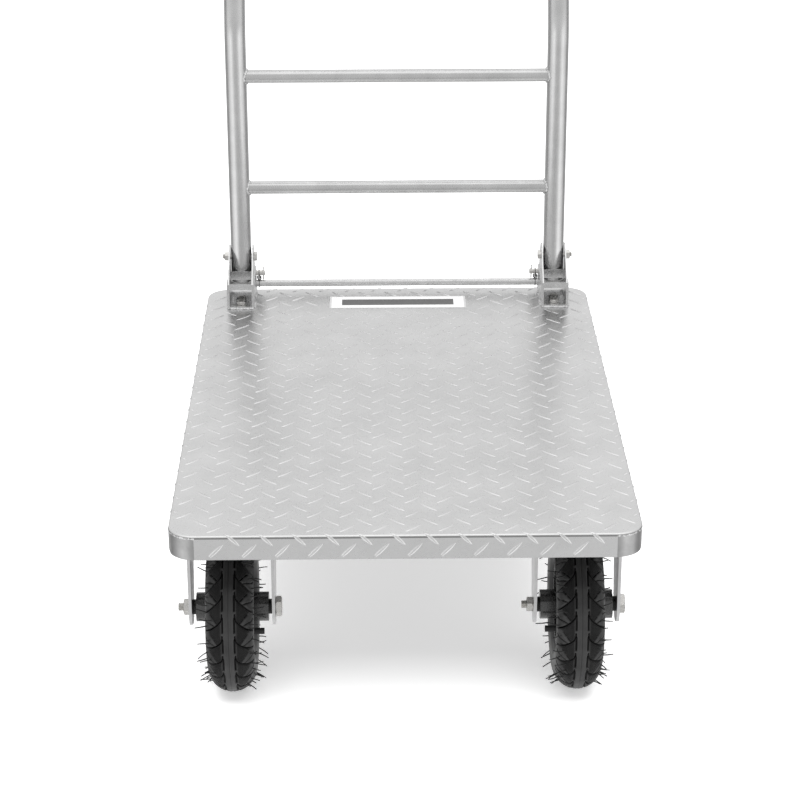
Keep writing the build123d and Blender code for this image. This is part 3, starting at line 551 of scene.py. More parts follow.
def make_corner_strips():
    """Curved strips that close the corners, with a thin seam to each flange and a weld above."""
    rng = np.random.default_rng(11)
    strips = Shell()
    beads = Shell()
    radius = CORNER_R - BAR_RISE
    depth, height = skirt_section(DECK_TOP - FOLD_R - STRIP_DROP, STRIP_LIP)
    for i, (sx, sy) in enumerate(CORNERS):
        centre = np.array([DECK_MID[0] + sx * (SKIN_X - radius), DECK_MID[1] + sy * (SKIN_Y - radius)])
        a = np.linspace(CORNER_SEAM, TAU / 4 - CORNER_SEAM, STRIP_STEPS) + i * TAU / 4
        inset = 0.0005 + 0.00025 * smooth_noise(STRIP_STEPS, 6, rng, closed=False)
        r = radius - inset[:, None] - depth[None, :]
        points = np.zeros((STRIP_STEPS, len(depth), 3))
        points[:, :, 0] = centre[0] + r * np.cos(a)[:, None]
        points[:, :, 1] = centre[1] + r * np.sin(a)[:, None]
        points[:, :, 2] = height
        strips.drum(points)
        steps = 150
        a = np.linspace(-0.02, TAU / 4 + 0.02, steps) + i * TAU / 4
        wander = 0.0005 * smooth_noise(steps, 22, rng, closed=False)
        r = radius - 0.0009 + 0.0004 * smooth_noise(steps, 34, rng, closed=False)
        path = np.column_stack([centre[0] + r * np.cos(a), centre[1] + r * np.sin(a),
                                DECK_TOP - FOLD_R - 0.0004 + wander])
        add_weld(beads, path, 0.0012, 0.0004, 40, rng, tip=0.0002)
    made = strips.piece("corner_strip_plates", "root", STRIP_STEEL, "strip_steel", smooth=False)
    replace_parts(made, "corner_strips")
    beads.piece("corner_welds", "root", WELD, "deck_zinc")


TREAD_PITCH = 0.0415
BAR_HALF_LENGTH = 0.0158
BAR_HALF_WIDTH = 0.0025
RISING_START = (0.0196, 0.0223)
FALLING_START = (0.0400, -0.0005)
BAR_STATIONS = 11
BAR_ACROSS = 5
# Blank from the start of the fold to the last bars: the round fold and the straight skirt, less a clear edge.
BLANK_REACH = FOLD_R * TAU / 4 + (SKIRT_DEPTH - FOLD_R) - FOLD_R
SHORTEST_CUT = -0.75


def fold_down(distance, half):
    """Outward place, drop below the top, and turn of a point of the flat blank once its edge is folded."""
    flat = half - FOLD_R
    over = np.maximum(np.abs(distance) - flat, 0.0)
    turn = np.minimum(over / FOLD_R, TAU / 4)
    straight = np.maximum(over - FOLD_R * TAU / 4, 0.0)
    out = np.minimum(np.abs(distance), flat) + FOLD_R * np.sin(turn)
    return np.sign(distance) * out, FOLD_R * (1 - np.cos(turn)) + straight, turn


def bar_shape(first, last):
    """Pointed bar: half width (1 - t^2)^0.7 along t, rise (1 - s^2)^0.8 across s, closed below."""
    t = np.linspace(first, last, BAR_STATIONS)
    s = np.linspace(-1, 1, BAR_ACROSS)
    wide = np.maximum(1 - t**2, 0.0) ** 0.7
    u = np.repeat(t[:, None] * BAR_HALF_LENGTH, BAR_ACROSS + 1, 1)
    v = np.concatenate([s[None, :] * wide[:, None], np.zeros((BAR_STATIONS, 1))], 1) * BAR_HALF_WIDTH
    rise = (1 - s**2)[None, :] ** 0.8 * np.minimum(wide * 1.6, 1.0)[:, None]
    h = np.concatenate([rise * BAR_RISE - 0.00005, np.full((BAR_STATIONS, 1), -0.0006)], 1)
    return u, v, h


def bar_ends(x0, y0, turn):
    """First and last t of the bar about x0, y0, cut short where it would pass the lower edge of a skirt."""
    for place, beside, half, half_beside, way in ((y0, x0, SKIN_Y, SKIN_X, turn * np.sign(y0)),
                                                  (x0, y0, SKIN_X, SKIN_Y, np.sign(x0))):
        past = half - FOLD_R + BLANK_REACH - BAR_HALF_WIDTH * DIAGONAL - abs(place)
        past = past / (BAR_HALF_LENGTH * DIAGONAL)
        if SHORTEST_CUT < past < 1.0 and abs(beside) < half_beside - CORNER_R:
            return (-1.0, past) if way > 0 else (-past, 1.0)
    return -1.0, 1.0


def bar_fits(x, y):
    """True where a bar passes one fold at most and keeps off the skirts' edges, the corners and the label."""
    over_x = np.max(np.abs(x)) - (SKIN_X - FOLD_R)
    over_y = np.max(np.abs(y)) - (SKIN_Y - FOLD_R)
    past_fold = max(over_x, over_y)
    if (over_x > 0 and over_y > 0) or past_fold > BLANK_REACH + 0.0004:
        return False
    corner_x = np.max(np.abs(x)) - (DECK_HALF_X - CORNER_R)
    corner_y = np.max(np.abs(y)) - (DECK_HALF_Y - CORNER_R)
    if corner_x > 0 and corner_y > 0:
        if math.hypot(corner_x, corner_y) > CORNER_R - FOLD_R or past_fold > 0:
            return False
    at_x, at_y = x + DECK_MID[0], y + DECK_MID[1]
    on_label = (at_x.max() > LABEL_LOW[0] and at_x.min() < LABEL_HIGH[0]
                and at_y.max() > LABEL_LOW[1] and at_y.min() < LABEL_HIGH[1])
    return not on_label


def make_tread_bars():
    """Raised bars in two crossing directions on one square lattice, lifted by h off the folded face."""
    shell = Shell()
    columns = int(2 * DECK_HALF_X / TREAD_PITCH) + 3
    rows = int(2 * DECK_HALF_Y / TREAD_PITCH) + 3
    for turn, start in ((1.0, RISING_START), (-1.0, FALLING_START)):
        for i in range(-1, columns):
            for j in range(-1, rows):
                x0 = -DECK_HALF_X + start[0] + i * TREAD_PITCH
                y0 = -DECK_HALF_Y + start[1] + j * TREAD_PITCH
                first, last = bar_ends(x0, y0, turn)
                u, v, h = bar_shape(first, last)
                x = x0 + (u - turn * v) * DIAGONAL
                y = y0 + (turn * u + v) * DIAGONAL
                if not bar_fits(x, y):
                    continue
                out_x, drop_x, turn_x = fold_down(x, SKIN_X)
                out_y, drop_y, turn_y = fold_down(y, SKIN_Y)
                points = np.stack([
                    out_x + h * (np.sin(turn_x) * np.sign(x)) + DECK_MID[0],
                    out_y + h * (np.sin(turn_y) * np.sign(y)) + DECK_MID[1],
                    DECK_TOP - drop_x - drop_y + h * np.cos(np.maximum(turn_x, turn_y)),
                ], -1)
                shell.grid(points, close_columns=True)
                if last < 1.0:
                    shell.cap(points[-1])
                if first > -1.0:
                    shell.cap(points[0])
    shell.piece("tread_bars", "root", BAR_ZINC, "deck_zinc")


# ---------------------------------------------------------------- handle
TUBE_R = 0.016
TUBE_WALL = 0.002
KINK_SLOPE = math.tan(math.radians(18))
KINK_R = 0.110
LOOP_R = 0.075
BORE_DEPTH = 0.03
TUBE_LIP = 0.0004
LEG_X = HANDLE_HIGH[0] - TUBE_R


def rounded_path(corners, radii, steps=24):
    """Line through corners with each inner corner turned into an arc of its radius."""
    corners = np.asarray(corners, float)
    path = [corners[0]]
    for before, corner, after, radius in zip(corners, corners[1:], corners[2:], radii):
        a = (before - corner) / np.linalg.norm(before - corner)
        b = (after - corner) / np.linalg.norm(after - corner)
        half = math.acos(np.clip(a @ b, -1, 1)) / 2
        centre = corner + (a + b) / np.linalg.norm(a + b) * radius / math.sin(half)
        first = corner + a * radius / math.tan(half) - centre
        last = corner + b * radius / math.tan(half) - centre
        sweep = math.pi - 2 * half
        for k in np.linspace(0, 1, steps):
            turned = math.sin((1 - k) * sweep) * first + math.sin(k * sweep) * last
            path.append(centre + turned / math.sin(sweep))
    path.append(corners[-1])
    return np.array(path)


def make_handle():
    """Bent tube with open ends, two crossbars that run into it, and a weld round each end."""
    rng = np.random.default_rng(5)
    hx = LEG_X
    hy = HANDLE_LOW[1] + TUBE_R
    top_y = HANDLE_HIGH[1] - TUBE_R
    top_z = HANDLE_HIGH[2] - TUBE_R
    foot = HANDLE_LOW[2]
    kink = top_z - (top_y - hy) / KINK_SLOPE
    path = rounded_path([(-hx, hy, foot), (-hx, hy, kink), (-hx, top_y, top_z), (hx, top_y, top_z),
                         (hx, hy, kink), (hx, hy, foot)], [KINK_R, LOOP_R, LOOP_R, KINK_R])
    deep = np.array([0, 0, BORE_DEPTH])
    lip = np.array([0, 0, TUBE_LIP])
    path = np.concatenate([[path[0] + deep, path[0], path[0], path[0] + lip], path[1:-1],
                           [path[-1] + lip, path[-1], path[-1], path[-1] + deep]])
    radius = np.full(len(path), TUBE_R)
    radius[[0, 1, -1, -2]] = TUBE_R - TUBE_WALL
    radius[[2, -3]] = TUBE_R - TUBE_LIP
    _, n, b = frames_along(path[3:-3])
    normal = np.concatenate([np.repeat(n[:1], 3, 0), n, np.repeat(n[-1:], 3, 0)])
    binormal = np.concatenate([np.repeat(b[:1], 3, 0), b, np.repeat(b[-1:], 3, 0)])
    shell = Shell()
    shell.drum(rings_about(path, radius, normal, binormal, 64))
    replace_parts(shell.piece("handle_tube_bent", "handle", HANDLE_SILVER, "handle_silver"), "handle_tube")
    beads = Shell()
    for node in ("crossbar_lower", "crossbar_upper"):
        low, high = spot(node)
        bar_r = (high[2] - low[2]) / 2
        z = (low[2] + high[2]) / 2
        bar = Shell()
        reach = hx - TUBE_R + 0.0015
        steps = np.linspace(-reach, reach, 9)
        add_tube(bar, np.column_stack([steps, np.full(9, hy), np.full(9, z)]), bar_r, 48)
        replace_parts(bar.piece(node + "_tube", "handle", HANDLE_SILVER, "handle_silver"), node)
        for side in SIDES:
            count = 96
            a = np.linspace(0, TAU, count, endpoint=False)
            wide = bar_r + 0.0006 + 0.0005 * smooth_noise(count, 17, rng)
            y = wide * np.cos(a)
            x = hx - np.sqrt((TUBE_R + 0.0005) ** 2 - y**2) - 0.0003 * smooth_noise(count, 13, rng)
            loop = np.column_stack([side * x, hy + y, z + wide * np.sin(a)])
            add_tube(beads, loop, 0.0017 + 0.0004 * smooth_noise(count, 23, rng), BEAD_SIDES, closed=True)
    beads.piece("crossbar_welds", "handle", WELD, "handle_silver")


# ---------------------------------------------------------------- fasteners
CHAMFER = 0.95
CHAMFER_SLOPE = math.tan(math.radians(30))
HEX_SIDES = 72
THREAD_SIDES = 36
M8_HEX = 0.013
M8_HEAD = 0.0053
M8_NUT = 0.0068
M8_R = 0.004
M8_PITCH = 0.00125


def across_axis(axis):
    """Two directions square to an axis and to each other."""
    u = np.cross(axis, [0.0, 0.0, 1.0])
    if np.linalg.norm(u) < 0.5:
        u = np.array([1.0, 0.0, 0.0])
    u /= np.linalg.norm(u)
    return u, np.cross(axis, u)


def add_hex(shell, centre, axis, flats, height, bore=0.0, turn=0.0):
    """Hexagon: edge distance flats / 2 / cos(angle from the flat), cut by a 30 degree cone at both ends."""
    u, v = across_axis(axis)
    a = np.linspace(0, TAU, HEX_SIDES, endpoint=False)
    edge = flats / 2 / np.cos((a + turn + TAU / 12) % (TAU / 6) - TAU / 12)
    flat_r = np.full(HEX_SIDES, CHAMFER * flats / 2)
    drop = (edge - flat_r) * CHAMFER_SLOPE
    level = np.zeros(HEX_SIDES)
    radii = [flat_r, edge, edge, flat_r]
    heights = [level + height, height - drop, drop, level]
    if bore:
        hole = np.full(HEX_SIDES, bore)
        radii = [hole] + radii + [hole]
        heights = [level + height] + heights + [level]
    r = np.stack(radii)[:, :, None]
    h = np.stack(heights)[:, :, None]
    rings = centre + axis * h + r * (np.cos(a)[None, :, None] * u + np.sin(a)[None, :, None] * v)
    if bore:
        shell.grid(rings, close_rows=True, close_columns=True)
    else:
        shell.drum(rings)


def add_thread(shell, start, axis, radius, length, pitch):
    """Rod whose radius dips by 0.3 pitch (1 - cos phase): phase = full turn * height / pitch + angle."""
    u, v = across_axis(axis)
    rows = max(int(length / pitch * 6), 6)
    h = np.linspace(0, length, rows)[:, None]
    a = np.linspace(0, TAU, THREAD_SIDES, endpoint=False)[None, :]
    dip = 0.3 * pitch * (1 - np.cos(TAU * (h / pitch) + a))
    point = np.minimum(1.0, (length - h) / 0.001 + 0.8)
    r = (radius - dip) * point
    around = np.cos(a)[:, :, None] * u + np.sin(a)[:, :, None] * v
    shell.drum(start + axis * h[:, :, None] + r[:, :, None] * around)


def add_rod(shell, start, end, radius, bevel=0.0004):
    """Round rod with small bevels at both ends."""
    along = (end - start) / np.linalg.norm(end - start)
    path = np.stack([start, start + along * bevel, end - along * bevel, end])
    add_tube(shell, path, np.array([radius - bevel, radius, radius, radius - bevel]), THREAD_SIDES)


def wheel_middle(end, side):
    low, high = spot(f"{end}_{side}_tyre")
    return (low + high) / 2


FORK_HALF = 0.057
AXLE_HEAD = (0.024, 0.0084)
AXLE_NUT = (0.019, 0.0084)
AXLE_R = 0.0075
AXLE_THREAD_R = 0.0055
AXLE_PITCH = 0.0015
THREAD_OVERLAP = 0.002


def make_axles():
    """Shoulder bolts: chamfered head on +X, chamfered nut and threaded end on -X."""
    x = np.array([1.0, 0.0, 0.0])
    for nodes, body, sides in (("front_axle_bolts", "root", ("left", "right")),
                               ("rear_axle_bolt_left", "rear_swivel_left", ("left",)),
                               ("rear_axle_bolt_right", "rear_swivel_right", ("right",))):
        bolt = Shell()
        nut = Shell()
        end = nodes.split("_")[0]
        for i, side in enumerate(sides):
            c = wheel_middle(end, side)
            turn = 0.35 + 0.5 * i
            add_rod(bolt, c - x * FORK_HALF, c + x * FORK_HALF, AXLE_R)
            add_hex(bolt, c + x * FORK_HALF, x, *AXLE_HEAD, turn=turn)
            tip = spot(nodes)[0][0]
            if side == "right" and end == "front":
                tip = c[0] - (wheel_middle(end, "left")[0] - tip)
            root = FORK_HALF - THREAD_OVERLAP
            add_thread(bolt, c - x * root, -x, AXLE_THREAD_R, c[0] - root - tip, AXLE_PITCH)
            add_hex(nut, c - x * FORK_HALF, -x, *AXLE_NUT, bore=AXLE_THREAD_R, turn=turn + 0.2)
        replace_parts(bolt.piece(nodes + "_turned", body, FASTENER_ZINC, "fastener_zinc"), nodes)
        nuts = nodes.replace("bolt", "nut")
        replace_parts(nut.piece(nuts + "_chamfered", body, FASTENER_ZINC, "fastener_zinc"), nuts)


FOOT_BOLT_STEPS = (0.013, 0.032)
BRACKET_SHEET = 0.002
FOOT_SHANK_R = 0.0039


def make_pivots():
    """Pivot bolts with heads on the inner walls, and the nuts of pivots and foot bolts."""
    bolts = Shell()
    nuts = Shell()
    foot = Shell()
    low, high = spot("pivot_bolts")
    y, z = (low[1] + high[1]) / 2, (low[2] + high[2]) / 2
    wall = spot("handle_brackets")[1][0] - LEG_X
    for side in SIDES:
        out = np.array([side, 0.0, 0.0])
        inner = np.array([side * (LEG_X - wall), y, z])
        outer = np.array([side * (LEG_X + wall), y, z])
        tip = high[0] if side > 0 else -low[0]
        add_hex(bolts, inner, -out, M8_HEX, M8_HEAD, turn=0.3)
        add_rod(bolts, inner, outer, M8_R)
        add_thread(bolts, outer - out * MM, out, M8_R, tip - LEG_X - wall + MM, M8_PITCH)
        add_hex(nuts, outer, out, M8_HEX, M8_NUT, bore=M8_R, turn=0.1)
    base = spot("handle_brackets")[0][2] + BRACKET_SHEET
    front = spot("bracket_shoes")[0][1]
    seat = spot("backing_plates")[0][2]
    foot_end = spot("bracket_bolts")[0][2]
    up = np.array([0.0, 0.0, 1.0])
    for side in SIDES:
        for i, step in enumerate(FOOT_BOLT_STEPS):
            place = np.array([side * LEG_X, front + step, 0.0])
            add_hex(foot, place + up * base, up, M8_HEX, M8_HEAD, turn=0.4 * i)
            add_rod(foot, place + up * base, place + up * seat, FOOT_SHANK_R)
            add_thread(foot, place + up * seat, -up, M8_R, seat - foot_end, M8_PITCH)
            add_hex(nuts, place + up * seat, -up, M8_HEX, M8_NUT, bore=M8_R, turn=0.2)
    for shell, name, node in ((bolts, "pivot_bolts_turned", "pivot_bolts"),
                              (foot, "bracket_bolts_turned", "bracket_bolts"),
                              (nuts, "m8_nuts_chamfered", "m8_nuts")):
        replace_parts(shell.piece(name, "root", FASTENER_ZINC, "fastener_zinc"), node)


SPRING_COIL_R = 0.0032
SPRING_WIRE_R = 0.0006
SPRING_TURNS = 4
SPRING_STEPS = 24
HOOK_GAP = 0.0002
ROD_R = 0.0055
PIN_R = 0.004


def make_springs():
    """One wire from a hook round the rod, through four close turns, to a hook round the anchor pin."""
    rod_y, rod_z = (ROD_LOW[1] + ROD_HIGH[1]) / 2, (ROD_LOW[2] + ROD_HIGH[2]) / 2
    pin_low, pin_high = spot("anchor_pins")
    pin_z = (pin_low[2] + pin_high[2]) / 2
    shell = Shell()
    rod_hook = ROD_R + SPRING_WIRE_R + HOOK_GAP
    top_hook = PIN_R + SPRING_WIRE_R + HOOK_GAP
    x = spot("release_springs")[1][0] - SPRING_COIL_R - SPRING_WIRE_R
    t = np.linspace(0, math.radians(300), SPRING_STEPS + 1)[1:]
    share = np.linspace(0, 1, SPRING_TURNS * SPRING_STEPS + 1)
    a = TAU / 4 + TAU * SPRING_TURNS * share
    r = SPRING_COIL_R * np.minimum(1, np.minimum(8 * share, 8 * (1 - share)))
    height = pin_z - rod_z - rod_hook - top_hook
    path = np.concatenate([
        np.column_stack([0 * t, -rod_hook * np.sin(t), rod_hook * np.cos(t)])[::-1],
        np.column_stack([r * np.cos(a), r * np.sin(a), rod_hook + height * share]),
        np.column_stack([0 * t, -top_hook * np.sin(t), pin_z - rod_z - top_hook * np.cos(t)])])
    for side in SIDES:
        add_tube(shell, path + [side * x, rod_y, rod_z], SPRING_WIRE_R, 8)
    made = shell.piece("release_springs_wound", "root", SPRING_STEEL, "spring_steel")
    made.parent = None
    del made["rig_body"]
    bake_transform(made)
    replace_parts(made, "release_springs")


SIDE_WELDS = ((0.006, 0.024), (0.052, 0.020))


def make_base_welds():
    """Weld runs along the sides and front of each bracket foot: lines that wander by smooth noise."""
    rng = np.random.default_rng(23)
    shell = Shell()
    low, high = spot("bracket_shoes")
    half = high[0] - LEG_X
    for side in SIDES:
        for way in SIDES:
            for start, length in SIDE_WELDS:
                steps = 50
                y = np.linspace(low[1] + start, low[1] + start + length, steps)
                x = side * LEG_X + way * (half + 0.0003) + 0.0003 * smooth_noise(steps, 9, rng, closed=False)
                path = np.column_stack([x, y, np.full(steps, DECK_TOP + 0.0007)])
                add_weld(shell, path, 0.0014, 0.0004, 13, rng)
        steps = 90
        x = np.linspace(side * LEG_X - half + MM, side * LEG_X + half - MM, steps)
        y = low[1] - 0.0002 + 0.0003 * smooth_noise(steps, 14, rng, closed=False)
        path = np.column_stack([x, y, np.full(steps, DECK_TOP + 0.0008)])
        add_weld(shell, path, 0.0013, 0.0005, 21, rng)
    shell.piece("bracket_welds", "root", WELD, "bracket_zinc")


# ---------------------------------------------------------------- tyres
TYRE_R = 0.1125
TYRE_HALF = 0.032
OVAL_R = 0.080
OVAL_HEIGHT = 0.0325
FLANGE_R = 0.0603
BEAD_X = 0.0228
BEAD_SEAT = 0.0509
REPEATS = 24
COLUMNS = 720
PITCH = TAU * TYRE_R / REPEATS
GROOVE_DEPTH = 0.0026
SIDE_SINK = 0.0008
RIB_RISE = 0.0006
TREAD_TURN = math.radians(74)
WALL_TURN = math.radians(127)
# Grooves of one repeat on the outer half, in millimetres: points (distance from the middle, distance
# along the tread), width and strength.
LONG_GROOVE = ((8.6, 14.0), (9.0, 9.0), (10.4, 4.6), (14.3, 0.0), (21.5, -6.4), (29.6, -13.4), (33.0, -16.0))
GROOVES = (
    (((0.0, 0.0), (0.0, 14.8), (0.0, 29.5)), 0.45, 0.35),
    (((8.0, -10.5), (8.0, 9.5)), 1.15, 1.0),
    (LONG_GROOVE, 1.05, 1.0),
    (((15.5, 1.5), (17.6, 4.0), (19.5, 6.5)), 0.85, 0.9),
    (((21.0, 8.5), (23.0, 10.8), (24.5, 13.0)), 0.85, 0.9),
    (((19.4, -2.5), (24.0, -0.3), (28.3, 1.3)), 0.75, 0.8),
    (((29.2, 1.8), (30.8, 6.0)), 0.7, 0.6),
)


DASH_SLOPE = 1.28


def groove_depth(across, along):
    """Deepest of soft troughs: strength * (1 - smoothstep(distance to the groove's line / width - 0.4))."""
    depth = np.zeros(np.broadcast(across, along).shape)
    pitch = PITCH / MM
    for points, width, strength in GROOVES:
        nearest = np.full(depth.shape, 1e3)
        for (x0, s0), (x1, s1) in zip(points, points[1:]):
            dx, ds = x1 - x0, s1 - s0
            middle = (s0 + s1) / 2
            local = (along - middle + pitch / 2) % pitch - pitch / 2 + middle
            t = np.clip(((across - x0) * dx + (local - s0) * ds) / (dx * dx + ds * ds), 0, 1)
            nearest = np.minimum(nearest, np.hypot(across - x0 - t * dx, local - s0 - t * ds))
        t = np.clip((nearest - 0.4 * width) / width, 0, 1)
        depth = np.maximum(depth, strength * (1 - t * t * (3 - 2 * t)))
    return depth


def shoulder_block(across, along):
    """1 in the smooth blocks: beyond the long groove and outside the sloping line of dashes."""
    pitch = PITCH / MM
    inside = np.zeros(np.broadcast(across, along).shape)
    outer = LONG_GROOVE[3:]
    groove = np.interp(across, *zip(*outer))
    local = (along - outer[-1][1]) % pitch + outer[-1][1]
    for s in (local, local + pitch):
        inside = np.maximum(inside, (s > groove) & (across > outer[0][0] + s / DASH_SLOPE))
    return inside


def tyre_rows():
    """Angles round the oval section: close together over the tread, wider apart on the sides."""
    tread = np.linspace(0, TREAD_TURN, 42)
    wall = np.linspace(TREAD_TURN, WALL_TURN, 13)[1:]
    half = np.concatenate([tread, wall])
    return np.concatenate([-half[:0:-1], half])


def tyre_section(p, depth):
    """Oval, x = 32 sin p and r = 80 + 32.5 cos p, cut along its normal by the tread, with two side ribs."""
    wall = np.abs(np.degrees(p))
    rib = (np.exp(-((wall - 88) / 2.2) ** 2) + 0.8 * np.exp(-((wall - 108) / 1.8) ** 2)) * RIB_RISE
    sunk = SIDE_SINK - np.minimum(rib, RIB_RISE)[:, None] - SIDE_SINK * (wall < 80)[:, None]
    cut = GROOVE_DEPTH * depth + sunk
    normal_x = np.sin(p) / TYRE_HALF
    normal_r = np.cos(p) / OVAL_HEIGHT
    size = np.hypot(normal_x, normal_r)
    x = TYRE_HALF * np.sin(p)[:, None] - cut * (normal_x / size)[:, None]
    r = (OVAL_R + OVAL_HEIGHT * np.cos(p))[:, None] - cut * (normal_r / size)[:, None]
    bead_x = np.array([BEAD_X, BEAD_X, BEAD_X - 0.005, BEAD_X - 0.006, BEAD_X - 0.006])
    bead_r = np.array([FLANGE_R, BEAD_SEAT, BEAD_SEAT, BEAD_SEAT + 0.002, FLANGE_R + 0.004])
    inner_x = np.concatenate([bead_x, -bead_x[::-1]])
    inner_r = np.concatenate([bead_r, bead_r[::-1]])
    return (np.concatenate([x, np.repeat(inner_x[:, None], COLUMNS, 1)]),
            np.concatenate([r, np.repeat(inner_r[:, None], COLUMNS, 1)]))


def add_tread_map(mesh, across, r, rows):
    """Lays the tread out flat in millimetres: distance round the wheel by distance over the section."""
    over = np.hypot(np.diff(across), np.diff(r[:len(across), 0]) / MM)
    arc = np.concatenate([[0], np.cumsum(over), np.zeros(rows - len(across))])
    column = np.tile(np.arange(COLUMNS), rows)
    row = np.repeat(np.arange(rows), COLUMNS)
    next_row = (row + 1) % rows
    u = np.stack([column, column + 1, column + 1, column], -1)[:, ::-1] * (TAU * TYRE_R / MM / COLUMNS)
    v = arc[np.stack([row, row, next_row, next_row], -1)[:, ::-1]]
    layer = mesh.uv_layers.new(name="tread")
    layer.data.foreach_set("uv", np.stack([u, v], -1).astype(np.float32).ravel())


def make_tyre(end, side):
    """Closed ring: the section swept round the axle, with grooves and knurled panels marked on it."""
    c = wheel_middle(end, side)
    p = tyre_rows()
    turn = TAU * np.arange(COLUMNS) / COLUMNS
    across = TYRE_HALF * np.sin(p) / MM
    along = -turn * TYRE_R / MM
    depth = groove_depth(np.abs(across)[:, None], along[None, :])
    fade = np.clip((33.0 - TYRE_HALF / MM * np.abs(p) / TREAD_TURN) / 3.0, 0, 1)
    on_tread = (np.abs(p) < TREAD_TURN - math.radians(1)).astype(float) * np.maximum(fade, 0.35)
    depth = depth * on_tread[:, None]
    x, r = tyre_section(p, depth)
    rows = len(x)
    points = np.stack([c[0] + x, c[1] - r * np.sin(turn), c[2] + r * np.cos(turn)], -1)
    quads = grid_faces(rows, COLUMNS, True, True)
    mesh = bpy.data.meshes.new(f"{end}_{side}_tread")
    mesh.from_pydata(points.reshape(-1, 3).tolist(), [], quads[:, ::-1].tolist())
    mesh.polygons.foreach_set("use_smooth", np.full(len(mesh.polygons), True))
    add_tread_map(mesh, across, r, rows)
    beside = np.abs(across)[:, None]
    panel = np.clip(beside - 9.5, 0, 1) * np.clip((27.0 - beside) / 2.0, 0, 1)
    panel = panel * np.clip(1 - 2.5 * depth, 0, 1) * (1 - shoulder_block(beside, along[None, :]))
    inside = np.zeros((rows - len(p), COLUMNS))
    # The groove and knurl attributes also place the rubber's painted shade.
    for name, values in (("groove", depth), ("knurl", panel)):
        attribute = mesh.attributes.new(name, "FLOAT", "POINT")
        attribute.data.foreach_set("value", np.concatenate([values, inside]).astype(np.float32).ravel())
    mesh.materials.append(TYRE_RUBBER)
    made = add_object(f"{end}_{side}_tread", mesh)
    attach(made, f"{end}_wheel_{side}")
    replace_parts(made, f"{end}_{side}_tyre")


WHISKERS = 116
WHISKER_SIDES = 5
WHISKER_CLEAR = 0.008


def make_whiskers(end, side, seed):
    """Moulding whiskers: tapering stalks, root + length * (t * lean + bend * t^2), round both shoulders."""
    rng = np.random.default_rng(seed)
    c = wheel_middle(end, side)
    shell = Shell()
    t = np.linspace(0, 1, 7)[:, None]
    for k in range(WHISKERS):
        way = 1.0 if k % 2 else -1.0
        turn = TAU * (k // 2 + rng.uniform(-0.42, 0.42)) / (WHISKERS // 2)
        p = math.radians(rng.uniform(36, 78))
        radial = np.array([0.0, -math.sin(turn), math.cos(turn)])
        ahead = np.array([0.0, -math.cos(turn), -math.sin(turn)])
        out = np.array([way, 0.0, 0.0])
        root = c + out * TYRE_HALF * math.sin(p) + radial * (OVAL_R + OVAL_HEIGHT * math.cos(p))
        root = root - 0.0012 * out
        low_down = max(0.0, -math.cos(turn) - 0.45)
        lean = (out * rng.uniform(0.8, 1.1) + radial * (rng.uniform(-0.1, 0.35) + 0.9 * low_down)
                + ahead * rng.uniform(-0.4, 0.4))
        lean /= np.linalg.norm(lean)
        bend = radial * rng.uniform(-0.25, 0.2) + ahead * rng.uniform(-0.3, 0.3)
        short = rng.uniform(0.005, 0.010)
        length = rng.choice([short, rng.uniform(0.012, 0.0185), rng.uniform(0.013, 0.0185)])
        path = root + length * (t * lean + bend * t**2)
        thick = rng.uniform(0.00080, 0.00096) * (1 - 0.3 * t[:, 0])
        if root[2] < WHISKER_CLEAR:
            continue
        path[:, 2] = np.maximum(path[:, 2], thick + 0.0003)
        _, normal, binormal = frames_along(path)
        rings = rings_about(path, thick, normal, binormal, WHISKER_SIDES)
        rings[:, :, 2] = np.maximum(rings[:, :, 2], 0.0002)
        shell.drum(rings)
    shell.piece(f"{end}_{side}_whiskers", f"{end}_wheel_{side}", WHISKER_RUBBER, "tyre_rubber")


# ---------------------------------------------------------------- stage
CAMERA_FROM_DECK = (-0.03965, -3.12322, 1.30650)
CAMERA_PITCH, CAMERA_YAW, CAMERA_ROLL = 0.397661, 0.012231, -0.0023712
LENS = 107.217


def make_camera():
    """Camera at a fixed place from the middle of the deck top, turned by yaw, then pitch, then roll."""
    data = bpy.data.cameras.new("camera")
    data.sensor_width = 36.0
    data.lens = LENS
    data.clip_start, data.clip_end = 0.1, 60.0
    camera = add_object("camera", data)
    cp, sp = math.cos(CAMERA_PITCH), math.sin(CAMERA_PITCH)
    cy, sy = math.cos(CAMERA_YAW), math.sin(CAMERA_YAW)
    ahead = np.array([sy * cp, cy * cp, -sp])
    right = np.array([cy, -sy, 0.0])
    up = np.cross(right, ahead)
    cr, sr = math.cos(CAMERA_ROLL), math.sin(CAMERA_ROLL)
    right, up = cr * right + sr * up, cr * up - sr * right
    matrix = np.eye(4)
    matrix[:3, 0], matrix[:3, 1], matrix[:3, 2] = right, up, -ahead
    matrix[:3, 3] = np.array([DECK_MID[0], DECK_MID[1], DECK_TOP]) + CAMERA_FROM_DECK
    camera.matrix_world = Matrix(matrix.tolist())
    bpy.context.scene.camera = camera


# Tone of the low band at shares of the half turn from the camera side to the back.
SURROUND = ((0.0, 0.64), (0.08, 0.68), (0.27, 1.30), (0.40, 1.02), (0.62, 0.34), (0.80, 0.60), (1.0, 0.78))
UPPER_FRONT, UPPER_BACK, OVERHEAD = 0.68, 0.84, 1.30
LOW_BAND = (0.02, 0.28)
TOP_BAND = (0.72, 0.92)


